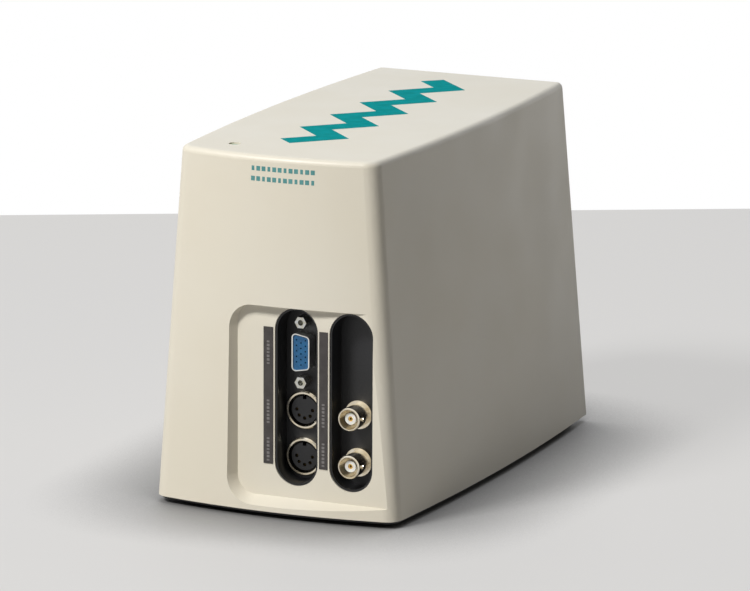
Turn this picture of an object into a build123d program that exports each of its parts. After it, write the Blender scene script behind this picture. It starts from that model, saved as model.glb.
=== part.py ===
from build123d import *
import math
import os

# Compact bench potentiostat. Millimetres, +Z up, -Y is the front with the connector wells.
# The origin is the middle of the footprint, on the surface that the feet stand on.

# Overall form of the moulded cover
DEPTH = 210.0
HEIGHT = 150.0
WIDTH_BOTTOM = 108.3
WIDTH_TOP = 87.0
SIDE_CROWN = 4.0
FRONT_CROWN = 5.5
FRONT_LEAN = 2.0
REAR_LEAN = 6.3
COVER_WALL = 3.0
CORNER_RADIUS = 7.0
TOP_RADIUS = 2.5

# Base, feet and fixings
FOOT_PROUD = 1.8
FOOT_RADIUS = 6.0
FOOT_STEM_RADIUS = 2.0
FOOT_CAP = 1.2
FOOT_X = 44.0
FOOT_FROM_FRONT = 33.0
FOOT_FROM_REAR = 17.0
SHEET = 1.2
BEND_RADIUS = 1.5
BASE_INSET = 1.6
BOSS_RADIUS = 3.6
BOSS_HEIGHT = 14.0
BOSS_X = 45.0
BOSS_FROM_FRONT = 45.0
BOSS_FROM_REAR = 35.0
RIB = 2.0
SCREW_RADIUS = 1.5
SCREW_HEAD_RADIUS = 2.8
SCREW_HEAD = 1.3
SCREW_REACH = 8.0
SCREW_END_GAP = 0.5
DRIVE_ACROSS = 2.0

# Clearances, and how far a cut runs past the face that it starts from
HOLE_CLEARANCE = 0.2
PIN_CLEARANCE = 0.05
SLIP = 0.02
PAST = 1.0

# Recess in the front of the cover
RECESS_DEPTH = 5.2
RECESS_LEFT = -16.4
RECESS_BOTTOM = 5.5
RECESS_TOP = 85.1
RECESS_DRAFT = 0.66
RECESS_TOP_DRAFT = 0.05
RECESS_RADIUS = 8.0

# Two connector wells, measured from the bottom edge of the cover
WELL_WIDTH = 19.2
WELL_BOTTOM = 10.7
WELL_TOP = 84.7
WELL_X = 9.8
WELL_PITCH = 24.3
WELL_RIM = 0.7
LINER_WALL = 0.8
LINER_FLANGE = 1.5
LINER_SET_BACK = 0.6
LINER_CLEARANCE = 0.1

# Legend strips beside the wells
LEGEND_LEFT = -4.7
LEGEND_BOTTOM = 19.0
LEGEND_TOP = 76.0
LEGEND_THICK = 0.3

# Connector panel behind the wells
PANEL_SET_BACK = 15.0
PANEL_LEFT = -22.0
PANEL_SIDE_GAP = 1.5
PANEL_HEIGHT = 91.0
PANEL_FLANGE = 14.0
SEAT_GAP = 0.1

# Board behind the connector panel
BOARD = 1.6
BOARD_SPACING = 11.0
FRONT_BOARD_LEFT = -12.0
FRONT_BOARD_RIGHT = 42.0
FRONT_BOARD_BOTTOM = 15.0
FRONT_BOARD_TOP = 82.0

# Control socket, a high-density fifteen-way D connector
DSUB_Z = 65.4
DSUB_FLANGE_WIDTH = 12.5
DSUB_FLANGE_HEIGHT = 30.8
DSUB_FLANGE = 0.8
DSUB_SHELL_WIDTH = 7.9
DSUB_SHELL_HEIGHT = 16.3
DSUB_SLANT = 10.0
DSUB_SHELL = 0.5
DSUB_PROUD = 5.8
DSUB_REAR = 6.0
DSUB_CORNER = 1.8
DSUB_ROWS = 5
DSUB_ROW_PITCH = 1.98
DSUB_PIN_PITCH = 2.29
DSUB_PIN = 0.6
DSUB_PIN_SET_IN = 1.5
JACK_SPACING = 25.0
JACK_RADIUS = 2.6
JACK_PROUD = 5.8
JACK_BORE = 1.15
JACK_BORE_FLOOR = 0.5
JACK_SHANK = 1.4
JACK_END = 2.0

# Round cell sockets
DIN_Z = (40.8, 21.3)
DIN_RING_RADIUS = 8.0
DIN_RING = 2.6
DIN_BARREL_RADIUS = 7.5
DIN_BORE_RADIUS = 6.8
DIN_INSERT_RADIUS = 5.8
DIN_REAR = 7.0
DIN_INSERT_BACK = 1.0
DIN_DISC = 2.0
DIN_PIN_CIRCLE = 3.5
DIN_PIN_RADIUS = 0.7
DIN_PIN_COUNT = 5
DIN_PIN_SWEEP = 45.0
DIN_PIN_SET_IN = 3.1
DIN_KEY = 1.6
DIN_KEY_DEPTH = 1.4

# Coaxial monitor sockets
BNC_Z = (41.4, 21.6)
BNC_SLEEVE_RADIUS = 4.8
BNC_BORE_RADIUS = 4.1
BNC_PROUD = 12.0
BNC_COLLAR_RADIUS = 5.9
BNC_COLLAR = 2.4
BNC_THREAD_RADIUS = 4.6
BNC_REAR = 8.0
BNC_DIELECTRIC_RADIUS = 2.4
BNC_DIELECTRIC_PROUD = 10.2
BNC_CONTACT_RADIUS = 1.1
BNC_CONTACT_BORE = 0.5
BNC_CONTACT_DEPTH = 5.0
BNC_CONTACT_SET_IN = 0.4
BNC_EDGE = 0.3
BNC_LUG_RADIUS = 1.0
BNC_LUG_SPAN = 11.0
BNC_LUG_BACK = 3.2
BNC_NUT_ACROSS = 12.0
BNC_NUT = 2.2

# Status light in the top of the cover
LED_X = -24.7
LED_BACK = 20.2
LED_RADIUS = 2.5
LED_LENGTH = 8.6
LED_RIM_RADIUS = 2.9
LED_RIM = 1.0
LED_SUNK = 0.5
LED_EDGE = 0.6
LED_BOSS_RADIUS = 4.5
LED_CLIP_WALL = 1.2
LED_CLIP_GRIP = 4.0

# Rear panel
REAR_SET_IN = 8.5
REAR_GAP = 0.5
VENT_LENGTH = 56.0
VENT_WIDTH = 3.0
VENT_PITCH = 6.5
VENT_ROWS = 6
VENT_Z = 98.0

# Mains inlet with its fuse drawer
INLET_X = 18.0
INLET_Z = 34.0
INLET_FLANGE_WIDTH = 50.0
INLET_FLANGE_HEIGHT = 34.0
INLET_FLANGE = 3.0
INLET_BODY_WIDTH = 28.0
INLET_BODY_HEIGHT = 30.0
INLET_BODY_DEPTH = 24.0
INLET_SCREW_SPACING = 40.0
INLET_SCREW_HEAD = 1.7
INLET_SCREW_EDGE = 0.5
INLET_SCREW_SLOT = 0.8
INLET_SCREW_REACH = 5.0
INLET_NUT_ACROSS = 5.5
INLET_NUT = 2.4
INLET_MOUTH_WIDTH = 24.4
INLET_MOUTH_HEIGHT = 16.6
INLET_MOUTH_DEPTH = 17.0
INLET_MOUTH_CHAMFER = 5.0
INLET_MOUTH_RISE = 5.2
BLADE_WIDTH = 2.0
BLADE_HEIGHT = 4.0
BLADE_SPACING = 14.0
BLADE_RISE = 4.0
BLADE_SET_IN = 1.5
BLADE_TAIL = 6.0
DRAWER_WIDTH = 24.0
DRAWER_HEIGHT = 8.4
DRAWER_DEPTH = 22.0
DRAWER_DROP = 9.6
DRAWER_CLEARANCE = 0.25
DRAWER_FACE = 1.2
DRAWER_FACE_MARGIN = 1.0
DRAWER_WALL = 1.4
DRAWER_GRIP_WIDTH = 8.0
DRAWER_GRIP_HEIGHT = 3.0
FUSE_RADIUS = 2.6
FUSE_LENGTH = 20.0
FUSE_CAP = 5.0
FUSE_CAP_SHEET = 0.2
FUSE_CLEARANCE = 0.15

# Power switch
SWITCH_X = -26.0
SWITCH_Z = 34.0
SWITCH_BEZEL_WIDTH = 17.0
SWITCH_BEZEL_HEIGHT = 24.0
SWITCH_BEZEL = 2.0
SWITCH_WALL = 1.2
SWITCH_DEPTH = 14.0
SWITCH_CAVITY = 9.0
ROCKER_WIDTH = 11.4
ROCKER_REACH = 9.2
ROCKER_FACE = 2.6
ROCKER_DIP = 1.3
ROCKER_BACK = 3.2
ROCKER_BACK_SHARE = 0.75
PIVOT_SET_IN = 0.4
ROCKER_CLEARANCE = 0.3
ROCKER_TILT = 8.0
TRUNNION_RADIUS = 1.2
TRUNNION_CLEARANCE = 0.05
TRUNNION_REACH = 0.9
TERMINAL_WIDTH = 4.8
TERMINAL_THICK = 0.8
TERMINAL_LENGTH = 8.0
TERMINAL_SPACING = 10.0

# Data socket
USB_X = -26.0
USB_Z = 74.0
USB_WIDTH = 12.0
USB_HEIGHT = 10.8
USB_SHELL = 0.6
USB_DEPTH = 16.0
USB_MOUTH_DEPTH = 9.0
USB_CHAMFER = 2.2
USB_CORE_SIDE = 0.8
USB_CORE_TOP = 0.7
USB_CORE_SET_IN = 0.4
USB_TONGUE_WIDTH = 5.6
USB_TONGUE_HEIGHT = 3.2
USB_TONGUE_SET_IN = 0.6
USB_FLANGE = 3.0

# Earth socket
EARTH_X = 22.0
EARTH_Z = 74.0
EARTH_BORE_RADIUS = 2.0
EARTH_BORE_DEPTH = 16.0
EARTH_TUBE_RADIUS = 3.0
EARTH_TUBE_LENGTH = 18.0
EARTH_TUBE_SET_IN = 0.5
EARTH_SLEEVE_RADIUS = 4.6
EARTH_FLANGE_RADIUS = 6.5
EARTH_FLANGE = 3.0
EARTH_SLEEVE_REAR = 7.0
EARTH_NUT_ACROSS = 12.0
EARTH_NUT = 3.0

# Main board and what it carries
MAIN_WIDTH = 76.0
MAIN_FRONT_GAP = 2.2
MAIN_REAR_GAP = 3.0
BOARD_MARGIN = 2.0
STANDOFF = 8.0
STANDOFF_RADIUS = 3.0
STANDOFF_INSET = 6.0
CAPACITOR_COUNT = 3
CAPACITOR_HEIGHT = 25.0
CAPACITOR_GAP = 2.5
RELAY = (7.5, 20.0, 10.0)
RELAY_PITCH = 10.5
RELAY_COUNT = 4
RELAY_GAP = 1.5
CHIP = (7.5, 18.0, 3.0)
CHIP_COUNT = 2
SHIELD_WIDTH = 30.0
SHIELD_HEIGHT = 14.0
SHIELD_SHEET = 0.5
SHIELD_ROUND = 1.0
HEADER = (40.0, 6.0, 9.0)
SINK_WIDTH = 66.0
SINK_HEIGHT = 38.0
SINK_BASE = 4.0
SINK_FIN = 12.0
SINK_FIN_THICK = 1.5
SINK_FIN_COUNT = 9
TRANSISTOR = (10.0, 4.5, 15.0)
TRANSISTOR_LEG = 5.0
TRANSISTOR_LEG_THICK = 0.8
TRANSISTOR_COUNT = 4

# Mains transformer
TOROID_X = -14.0
TOROID_FROM_REAR = 57.0
TOROID_RADIUS = 27.0
TOROID_BORE = 10.0
TOROID_HEIGHT = 28.0
TOROID_SHOULDER = 6.0
PAD_THICK = 1.5
DISH_RADIUS = 20.0
DISH_THICK = 1.2
DISH_DROP = 4.0
TOROID_BOLT_RADIUS = 3.0
TOROID_BOLT_HEAD_RADIUS = 5.1
TOROID_BOLT_END = 6.0
TOROID_NUT_ACROSS = 10.0
TOROID_NUT = 4.0

COVER_BOTTOM = FOOT_PROUD + SHEET
COVER_TOP = HEIGHT
FRONT = -DEPTH / 2
REAR = DEPTH / 2
FOOT_Y = (FRONT + FOOT_FROM_FRONT, REAR - FOOT_FROM_REAR)
BOSS_Y = (FRONT + BOSS_FROM_FRONT, REAR - BOSS_FROM_REAR)
WELLS_X = (WELL_X, WELL_X + WELL_PITCH)
RECESS_FLOOR = FRONT + RECESS_DEPTH
PANEL_FACE = FRONT + PANEL_SET_BACK
PANEL_BACK = PANEL_FACE + SHEET
FRONT_BOARD_FACE = PANEL_BACK + BOARD_SPACING
REAR_PANEL_FACE = REAR - REAR_SET_IN
REAR_PANEL_INSIDE = REAR_PANEL_FACE - SHEET
INLET_FACE = REAR_PANEL_FACE + INLET_FLANGE
INLET_BACK = REAR_PANEL_FACE - INLET_BODY_DEPTH
BASE_TOP = COVER_BOTTOM
MAIN_BOTTOM = BASE_TOP + STANDOFF
MAIN_TOP = MAIN_BOTTOM + BOARD
TOROID_Y = REAR - TOROID_FROM_REAR
MAIN_FRONT = FRONT_BOARD_FACE + BOARD + MAIN_FRONT_GAP
MAIN_REAR = TOROID_Y - TOROID_RADIUS - MAIN_REAR_GAP
SINK_Y = MAIN_REAR - BOARD_MARGIN - SINK_FIN - SINK_BASE
PARTS_FRONT = MAIN_FRONT + 2 * STANDOFF_INSET
TRANSISTOR_FRONT = SINK_Y - TRANSISTOR[1]
RELAY_FRONT = TRANSISTOR_FRONT - RELAY_GAP - RELAY[1]
CAPACITOR_PITCH = (TRANSISTOR_FRONT - BOARD_MARGIN - PARTS_FRONT) / CAPACITOR_COUNT
CAPACITOR_RADIUS = (CAPACITOR_PITCH - CAPACITOR_GAP) / 2
SHIELD_LEFT = MAIN_WIDTH / 2 - BOARD_MARGIN - SHIELD_WIDTH
OVERCUT = 4.0


def block(x0, x1, y0, y1, z0, z1):
    """A box from its two corners."""
    return Pos((x0 + x1) / 2, (y0 + y1) / 2, (z0 + z1) / 2) * Box(x1 - x0, y1 - y0, z1 - z0)


def rod_z(x, y, z0, z1, radius):
    """A round bar along Z."""
    return Pos(x, y, (z0 + z1) / 2) * Cylinder(radius, z1 - z0)


def rod_y(x, z, y0, y1, radius):
    """A round bar along Y."""
    return Pos(x, (y0 + y1) / 2, z) * Rot(90, 0, 0) * Cylinder(radius, y1 - y0)


def rod_x(y, z, x0, x1, radius):
    """A round bar along X."""
    return Pos((x0 + x1) / 2, y, z) * Rot(0, 90, 0) * Cylinder(radius, x1 - x0)


def upright(x, y, z):
    """A sketch plane that faces the front: its own axes are X and Z."""
    return Plane(origin=(x, y, z), x_dir=(1, 0, 0), z_dir=(0, -1, 0))


def along_y(profile, x, z, y0, y1):
    """A profile drawn in X and Z, carried from y0 back to y1."""
    return extrude(upright(x, y0, z) * profile, amount=y1 - y0, dir=(0, 1, 0))


def cover_share(z):
    """How far up the cover a height lies, from 0 at its bottom edge to 1 at its top."""
    return (z - COVER_BOTTOM) / (COVER_TOP - COVER_BOTTOM)


def corner_half(z):
    """Half the width between the cover's corners at a height."""
    return (WIDTH_BOTTOM + (WIDTH_TOP - WIDTH_BOTTOM) * cover_share(z)) / 2


def outline(z, inset, rear_inset, radius):
    """The cover's crowned outline at a height, drawn in by an inset."""
    half = corner_half(z) - inset
    front = FRONT + FRONT_LEAN * cover_share(z) + inset
    rear = REAR - REAR_LEAN * cover_share(z) - rear_inset
    shoulder = front + FRONT_CROWN
    middle = (shoulder + rear) / 2
    edges = Curve() + [
        ThreePointArc((-half, shoulder), (0, front), (half, shoulder)),
        ThreePointArc((half, shoulder), (half + SIDE_CROWN, middle), (half, rear)),
        Line((half, rear), (-half, rear)),
        ThreePointArc((-half, rear), (-half - SIDE_CROWN, middle), (-half, shoulder)),
    ]
    face = make_face(edges)
    corners = face.vertices().sort_by(Axis.Y)[:2]
    return Pos(0, 0, z) * fillet(corners, radius)


def tapered(z0, z1, inset, rear_inset, radius):
    """The cover's tapering form between two heights."""
    return loft([outline(z0, inset, rear_inset, radius), outline(z1, inset, rear_inset, radius)], ruled=True)


def well_profile(width, height):
    """The round-ended outline of a connector well."""
    return Rot(0, 0, 90) * SlotOverall(height, width)


def well_bars(width, y0, y1, grow=0.0):
    """Both wells as solid bars, for cutting or for lining."""
    middle = COVER_BOTTOM + (WELL_BOTTOM + WELL_TOP) / 2
    height = WELL_TOP - WELL_BOTTOM + grow
    bars = [along_y(well_profile(width, height), x, middle, y0, y1) for x in WELLS_X]
    return bars[0] + bars[1]


def recess_cut():
    """The drafted pocket that dies away where the crowned front meets its floor."""
    run = RECESS_DEPTH + OVERCUT
    right = WIDTH_BOTTOM / 2 + OVERCUT
    left_out = RECESS_LEFT - RECESS_DRAFT * run
    bottom_out = RECESS_BOTTOM - RECESS_DRAFT * run
    top_out = RECESS_TOP + RECESS_TOP_DRAFT * run
    faces = []
    for left, bottom, top, radius, y in (
        (RECESS_LEFT, RECESS_BOTTOM, RECESS_TOP, RECESS_RADIUS, RECESS_FLOOR),
        (left_out, bottom_out, top_out, RECESS_RADIUS + RECESS_DRAFT * run, RECESS_FLOOR - run),
    ):
        sketch = RectangleRounded(right - left, top - bottom, radius)
        faces.append(upright((left + right) / 2, y, COVER_BOTTOM + (top + bottom) / 2) * sketch)
    return loft(faces, ruled=True)


def recess_backing():
    """The thicker wall that keeps the recess closed from inside."""
    return block(
        RECESS_LEFT - COVER_WALL - RECESS_DRAFT * RECESS_DEPTH,
        WIDTH_BOTTOM,
        FRONT - OVERCUT,
        RECESS_FLOOR + COVER_WALL,
        0,
        COVER_BOTTOM + RECESS_TOP + COVER_WALL,
    )


def side_half(y, z):
    """Half the cover's crowned width at a place along its depth and at a height."""
    from_middle = y / (DEPTH / 2)
    return corner_half(z) + SIDE_CROWN * (1 - from_middle * from_middle)


def cover_boss(side, y):
    """A screw boss on its rib, standing on the base."""
    x = side * BOSS_X
    top = COVER_BOTTOM + BOSS_HEIGHT
    boss = rod_z(x, y, COVER_BOTTOM, top, BOSS_RADIUS)
    wall = side * (side_half(y, top) - COVER_WALL / 3)
    rib = block(min(x, wall), max(x, wall), y - RIB / 2, y + RIB / 2, COVER_BOTTOM, top)
    return boss + rib


def led_seat():
    """The lower end of the boss, where the rim of the status light stops."""
    return COVER_TOP - LED_SUNK - LED_LENGTH + LED_RIM


def inside_cover(gap):
    """The space inside the cover's wall, less a gap, for trimming what stands against it."""
    inset = COVER_WALL + gap
    return tapered(COVER_BOTTOM, COVER_TOP - inset, inset, inset, CORNER_RADIUS / 2)


def make_cover():
    """The moulded hood: one wall, open underneath and behind."""
    body = tapered(COVER_BOTTOM, COVER_TOP, 0, 0, CORNER_RADIUS)
    rim = [e for e in body.faces().sort_by(Axis.Z)[-1].edges() if e.center().Y < REAR - REAR_LEAN - PAST]
    body = fillet(rim, TOP_RADIUS)
    inner_radius = max(CORNER_RADIUS - COVER_WALL, COVER_WALL / 4)
    cavity = tapered(COVER_BOTTOM - OVERCUT, COVER_TOP - COVER_WALL, COVER_WALL, -OVERCUT, inner_radius)
    body = body - (cavity - recess_backing())
    body = body - recess_cut()
    body = body - well_bars(WELL_WIDTH, FRONT - OVERCUT, RECESS_FLOOR + COVER_WALL + OVERCUT)
    led_y = FRONT + LED_BACK
    seat = led_seat()
    body = body + rod_z(LED_X, led_y, seat, COVER_TOP - COVER_WALL / 2, LED_BOSS_RADIUS)
    body = body - rod_z(LED_X, led_y, seat - PAST, COVER_TOP + PAST, LED_RADIUS + PIN_CLEARANCE)
    for side in (-1, 1):
        for y in BOSS_Y:
            body = body + cover_boss(side, y)
            pilot = rod_z(side * BOSS_X, y, COVER_BOTTOM - PAST, COVER_BOTTOM + SCREW_REACH, SCREW_RADIUS)
            body = body - pilot
    return body


def make_well_liner():
    """Black moulded liner: a tube for each well on one flange behind the cover's wall."""
    outside = WELL_WIDTH - 2 * LINER_CLEARANCE
    shrink = -2 * LINER_CLEARANCE
    mouth = RECESS_FLOOR + LINER_SET_BACK
    seat = RECESS_FLOOR + COVER_WALL + SEAT_GAP
    end = PANEL_FACE - SEAT_GAP
    tubes = well_bars(outside, mouth, end, shrink)
    low = COVER_BOTTOM + WELL_BOTTOM - COVER_WALL
    high = COVER_BOTTOM + WELL_TOP + COVER_WALL
    left = WELLS_X[0] - WELL_WIDTH / 2 - COVER_WALL
    right = WELLS_X[1] + WELL_WIDTH / 2 + COVER_WALL
    flange = block(left, right, seat, seat + LINER_FLANGE, low, high) & inside_cover(REAR_GAP)
    inside = outside - 2 * LINER_WALL
    bore = well_bars(inside, FRONT, PANEL_FACE + OVERCUT, shrink - 2 * LINER_WALL)
    return tubes + flange - bore


def legend_strip(x0, x1):
    """A thin printed strip lying on the floor of the recess."""
    return block(
        x0,
        x1,
        RECESS_FLOOR - LEGEND_THICK,
        RECESS_FLOOR,
        COVER_BOTTOM + LEGEND_BOTTOM,
        COVER_BOTTOM + LEGEND_TOP,
    )


def make_legends():
    """The legend strips left of the first well and between the two."""
    first_left = WELLS_X[0] - WELL_WIDTH / 2 - WELL_RIM
    first_right = WELLS_X[0] + WELL_WIDTH / 2 + WELL_RIM
    second_left = WELLS_X[1] - WELL_WIDTH / 2 - WELL_RIM
    return legend_strip(LEGEND_LEFT, first_left), legend_strip(first_right, second_left)


def rear_panel_blank():
    """The trapezium that fills the open back of the cover with a small gap, with the depth of its bend."""
    low = BASE_TOP
    high = COVER_TOP - COVER_WALL - REAR_GAP
    low_half = corner_half(low) - COVER_WALL - REAR_GAP
    high_half = corner_half(high) - COVER_WALL - REAR_GAP
    outline_points = [(-low_half, low), (low_half, low), (high_half, high), (-high_half, high)]
    blank = make_face(Polyline(*outline_points, close=True))
    blank = fillet(blank.vertices().sort_by(Axis.Y)[-2:], CORNER_RADIUS - COVER_WALL / 2)
    return along_y(blank, 0, 0, REAR_PANEL_INSIDE - BEND_RADIUS, REAR_PANEL_FACE)


def mouth_profile(width, height, chamfer_size):
    """The outline of a three-blade mains inlet: a rectangle with two cut corners."""
    sketch = Rectangle(width, height)
    return chamfer(sketch.vertices().sort_by(Axis.Y)[-2:], chamfer_size)


def with_clearance(width, height):
    """The square-cornered hole for a body of a given size."""
    return Rectangle(width + 2 * HOLE_CLEARANCE, height + 2 * HOLE_CLEARANCE)


def rear_cutouts():
    """Every opening in the rear panel, each from the size of what it holds."""
    y0 = REAR_PANEL_INSIDE - PAST
    y1 = REAR_PANEL_FACE + PAST
    cut = along_y(with_clearance(INLET_BODY_WIDTH, INLET_BODY_HEIGHT), INLET_X, INLET_Z, y0, y1)
    cut += along_y(with_clearance(*switch_body_size()), SWITCH_X, SWITCH_Z, y0, y1)
    cut += along_y(with_clearance(USB_WIDTH, USB_HEIGHT), USB_X, USB_Z, y0, y1)
    cut += rod_y(EARTH_X, EARTH_Z, y0, y1, EARTH_SLEEVE_RADIUS + HOLE_CLEARANCE)
    for x in inlet_screw_places():
        cut += rod_y(x, INLET_Z, y0, y1, SCREW_RADIUS + HOLE_CLEARANCE)
    for row in range(VENT_ROWS):
        cut += along_y(SlotOverall(VENT_LENGTH, VENT_WIDTH), 0, VENT_Z + row * VENT_PITCH, y0, y1)
    return cut


def base_holes():
    """Every hole in the base, each under what it holds."""
    places = [(side * BOSS_X, y) for side in (-1, 1) for y in BOSS_Y]
    places += [(panel_screw_x(side), panel_screw_y()) for side in (-1, 1)]
    places += standoff_places()
    holes = [(x, y, SCREW_RADIUS + HOLE_CLEARANCE) for x, y in places]
    holes += [(x, y, FOOT_STEM_RADIUS) for x, y in foot_places()]
    holes.append((TOROID_X, TOROID_Y, TOROID_BOLT_RADIUS + HOLE_CLEARANCE))
    return [rod_z(x, y, 0, BASE_TOP + PAST, radius) for x, y, radius in holes]


def folded_sheet():
    """Sheet that runs along the base and turns up at the rear, wider than the instrument."""
    half = WIDTH_BOTTOM
    outside = block(-half, half, -DEPTH, REAR_PANEL_FACE, FOOT_PROUD, HEIGHT)
    outside = fillet(edge_along_x(outside, REAR_PANEL_FACE, FOOT_PROUD), BEND_RADIUS + SHEET)
    inside = block(-half, half, -DEPTH, REAR_PANEL_INSIDE, BASE_TOP, HEIGHT)
    return outside - fillet(edge_along_x(inside, REAR_PANEL_INSIDE, BASE_TOP), BEND_RADIUS)


def make_chassis():
    """Base and rear panel, folded from one black sheet."""
    base_blank = tapered(FOOT_PROUD, BASE_TOP, BASE_INSET, BASE_INSET, CORNER_RADIUS - BASE_INSET)
    body = folded_sheet() & (base_blank + rear_panel_blank())
    body = body - rear_cutouts()
    for hole in base_holes():
        body = body - hole
    return body


def foot_places():
    """Where the four feet stand."""
    return [(side * FOOT_X, y) for side in (-1, 1) for y in FOOT_Y]


def make_feet():
    """Push-in rubber feet: a pad below the base, a stem through it and a cap above."""
    feet = []
    for x, y in foot_places():
        pad = rod_z(x, y, 0, FOOT_PROUD, FOOT_RADIUS)
        pad = chamfer(pad.edges().sort_by(Axis.Z)[0], FOOT_PROUD / 4)
        stem = rod_z(x, y, FOOT_PROUD, BASE_TOP, FOOT_STEM_RADIUS)
        cap = rod_z(x, y, BASE_TOP, BASE_TOP + FOOT_CAP, FOOT_STEM_RADIUS + FOOT_CAP / 2)
        feet.append(pad + stem + cap)
    return feet


def base_screw(x, y, reach):
    """A low-headed screw put in from below the base."""
    low = FOOT_PROUD - SCREW_HEAD
    head = rod_z(x, y, low, FOOT_PROUD, SCREW_HEAD_RADIUS)
    drive = Pos(x, y, low) * extrude(RegularPolygon(DRIVE_ACROSS / 2, 6), amount=SCREW_HEAD / 2)
    return head + rod_z(x, y, FOOT_PROUD, FOOT_PROUD + reach, SCREW_RADIUS - SLIP) - drive


def make_cover_screws():
    """Four screws that hold the cover down on the base."""
    reach = SHEET + SCREW_REACH - SCREW_END_GAP
    return [base_screw(side * BOSS_X, y, reach) for side in (-1, 1) for y in BOSS_Y]


def edge_along_x(body, y, z):
    """The edges that run along X at one Y and Z."""
    found = []
    for e in body.edges().filter_by(Axis.X):
        if abs(e.center().Y - y) < 0.01 and abs(e.center().Z - z) < 0.01:
            found.append(e)
    return found


def panel_screw_x(side):
    """Where the connector panel's foot is screwed down."""
    right = corner_half(BASE_TOP) - COVER_WALL - PANEL_SIDE_GAP
    return (PANEL_LEFT + right) / 2 + side * (right - PANEL_LEFT) / 3


def panel_screw_y():
    """The screw line in the middle of the connector panel's foot."""
    return PANEL_FACE + (PANEL_FLANGE + SHEET + BEND_RADIUS) / 2


def make_connector_panel():
    """Folded bracket: an upright behind the wells and a foot on the base."""
    top = COVER_BOTTOM + PANEL_HEIGHT
    right = WIDTH_BOTTOM
    upright_sheet = block(PANEL_LEFT, right, PANEL_FACE, PANEL_BACK, BASE_TOP, top)
    foot = block(PANEL_LEFT, right, PANEL_FACE, PANEL_FACE + PANEL_FLANGE, BASE_TOP, BASE_TOP + SHEET)
    body = fillet(edge_along_x(upright_sheet + foot, PANEL_BACK, BASE_TOP + SHEET), BEND_RADIUS)
    body = fillet(edge_along_x(body, PANEL_FACE, BASE_TOP), BEND_RADIUS + SHEET)
    body = body & inside_cover(PANEL_SIDE_GAP)
    y0 = PANEL_FACE - PAST
    y1 = PANEL_BACK + PAST
    body = body - along_y(shell_profile(-HOLE_CLEARANCE), WELLS_X[0], COVER_BOTTOM + DSUB_Z, y0, y1)
    for z in jack_heights():
        body = body - rod_y(WELLS_X[0], z, y0, y1, JACK_SHANK + HOLE_CLEARANCE)
    for side in (-1, 1):
        x = panel_screw_x(side)
        body = body - rod_z(x, panel_screw_y(), BASE_TOP - PAST, BASE_TOP + SHEET + PAST, SCREW_RADIUS)
    for z in DIN_Z:
        body = body - rod_y(WELLS_X[0], COVER_BOTTOM + z, y0, y1, DIN_BARREL_RADIUS)
    for z in BNC_Z:
        body = body - rod_y(WELLS_X[1], COVER_BOTTOM + z, y0, y1, BNC_THREAD_RADIUS)
    return body


def make_panel_screws():
    """Two screws through the base into the connector panel's foot."""
    reach = 2 * SHEET + SCREW_RADIUS
    return [base_screw(panel_screw_x(side), panel_screw_y(), reach) for side in (-1, 1)]


def d_profile(width, height, corner):
    """The D outline, with its long side to the left."""
    half_long = height / 2
    half_short = half_long - width * math.tan(math.radians(DSUB_SLANT))
    points = [
        (-width / 2, -half_long),
        (width / 2, -half_short),
        (width / 2, half_short),
        (-width / 2, half_long),
    ]
    face = make_face(Polyline(*points, close=True))
    return fillet(face.vertices(), corner)


def shell_profile(inset):
    """The outline of the control socket's shroud, drawn in by an inset."""
    return d_profile(DSUB_SHELL_WIDTH - 2 * inset, DSUB_SHELL_HEIGHT - 2 * inset, DSUB_CORNER - inset)


def jack_heights():
    """The heights of the two jack posts, above and below the control socket."""
    return [COVER_BOTTOM + DSUB_Z + side * JACK_SPACING / 2 for side in (-1, 1)]


def make_dsub_shell():
    """Pressed steel shell: a flange behind the panel and the D-shaped shroud through it."""
    z = COVER_BOTTOM + DSUB_Z
    front = PANEL_FACE - DSUB_PROUD
    end = PANEL_BACK + DSUB_FLANGE
    flange = RectangleRounded(DSUB_FLANGE_WIDTH, DSUB_FLANGE_HEIGHT, DSUB_CORNER)
    body = along_y(flange, WELLS_X[0], z, PANEL_BACK, end)
    body = body + along_y(shell_profile(0), WELLS_X[0], z, front, PANEL_BACK)
    body = body - along_y(shell_profile(DSUB_SHELL), WELLS_X[0], z, front - PAST, end + PAST)
    for hole_z in jack_heights():
        hole = rod_y(WELLS_X[0], hole_z, PANEL_BACK - PAST, end + PAST, JACK_SHANK + HOLE_CLEARANCE)
        body = body - hole
    return body


def dsub_places():
    """Fifteen contact places in three staggered columns."""
    places = []
    for column in (-1, 0, 1):
        for row in range(DSUB_ROWS):
            x = WELLS_X[0] + column * DSUB_ROW_PITCH
            stagger = abs(column) / 2 - 1 / 4
            from_middle = row - (DSUB_ROWS - 1) / 2 + stagger
            z = COVER_BOTTOM + DSUB_Z + from_middle * DSUB_PIN_PITCH
            places.append((x, z))
    return places


def make_dsub_insulator():
    """Blue moulded insulator that fills the shell and reaches behind it."""
    front = PANEL_FACE - DSUB_PROUD + DSUB_SHELL
    end = PANEL_BACK + DSUB_FLANGE + DSUB_REAR
    body = along_y(shell_profile(DSUB_SHELL + SLIP / 2), WELLS_X[0], COVER_BOTTOM + DSUB_Z, front, end)
    half = DSUB_PIN / 2
    for x, z in dsub_places():
        body = body - block(x - half, x + half, front - PAST, end + PAST, z - half, z + half)
    return body


def make_dsub_contacts():
    """Fifteen square contacts, from just inside the face back to the board."""
    half = DSUB_PIN / 2 - SLIP / 2
    front = PANEL_FACE - DSUB_PROUD + DSUB_SHELL + DSUB_PIN_SET_IN
    return [
        block(x - half, x + half, front, FRONT_BOARD_FACE, z - half, z + half) for x, z in dsub_places()
    ]


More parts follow.
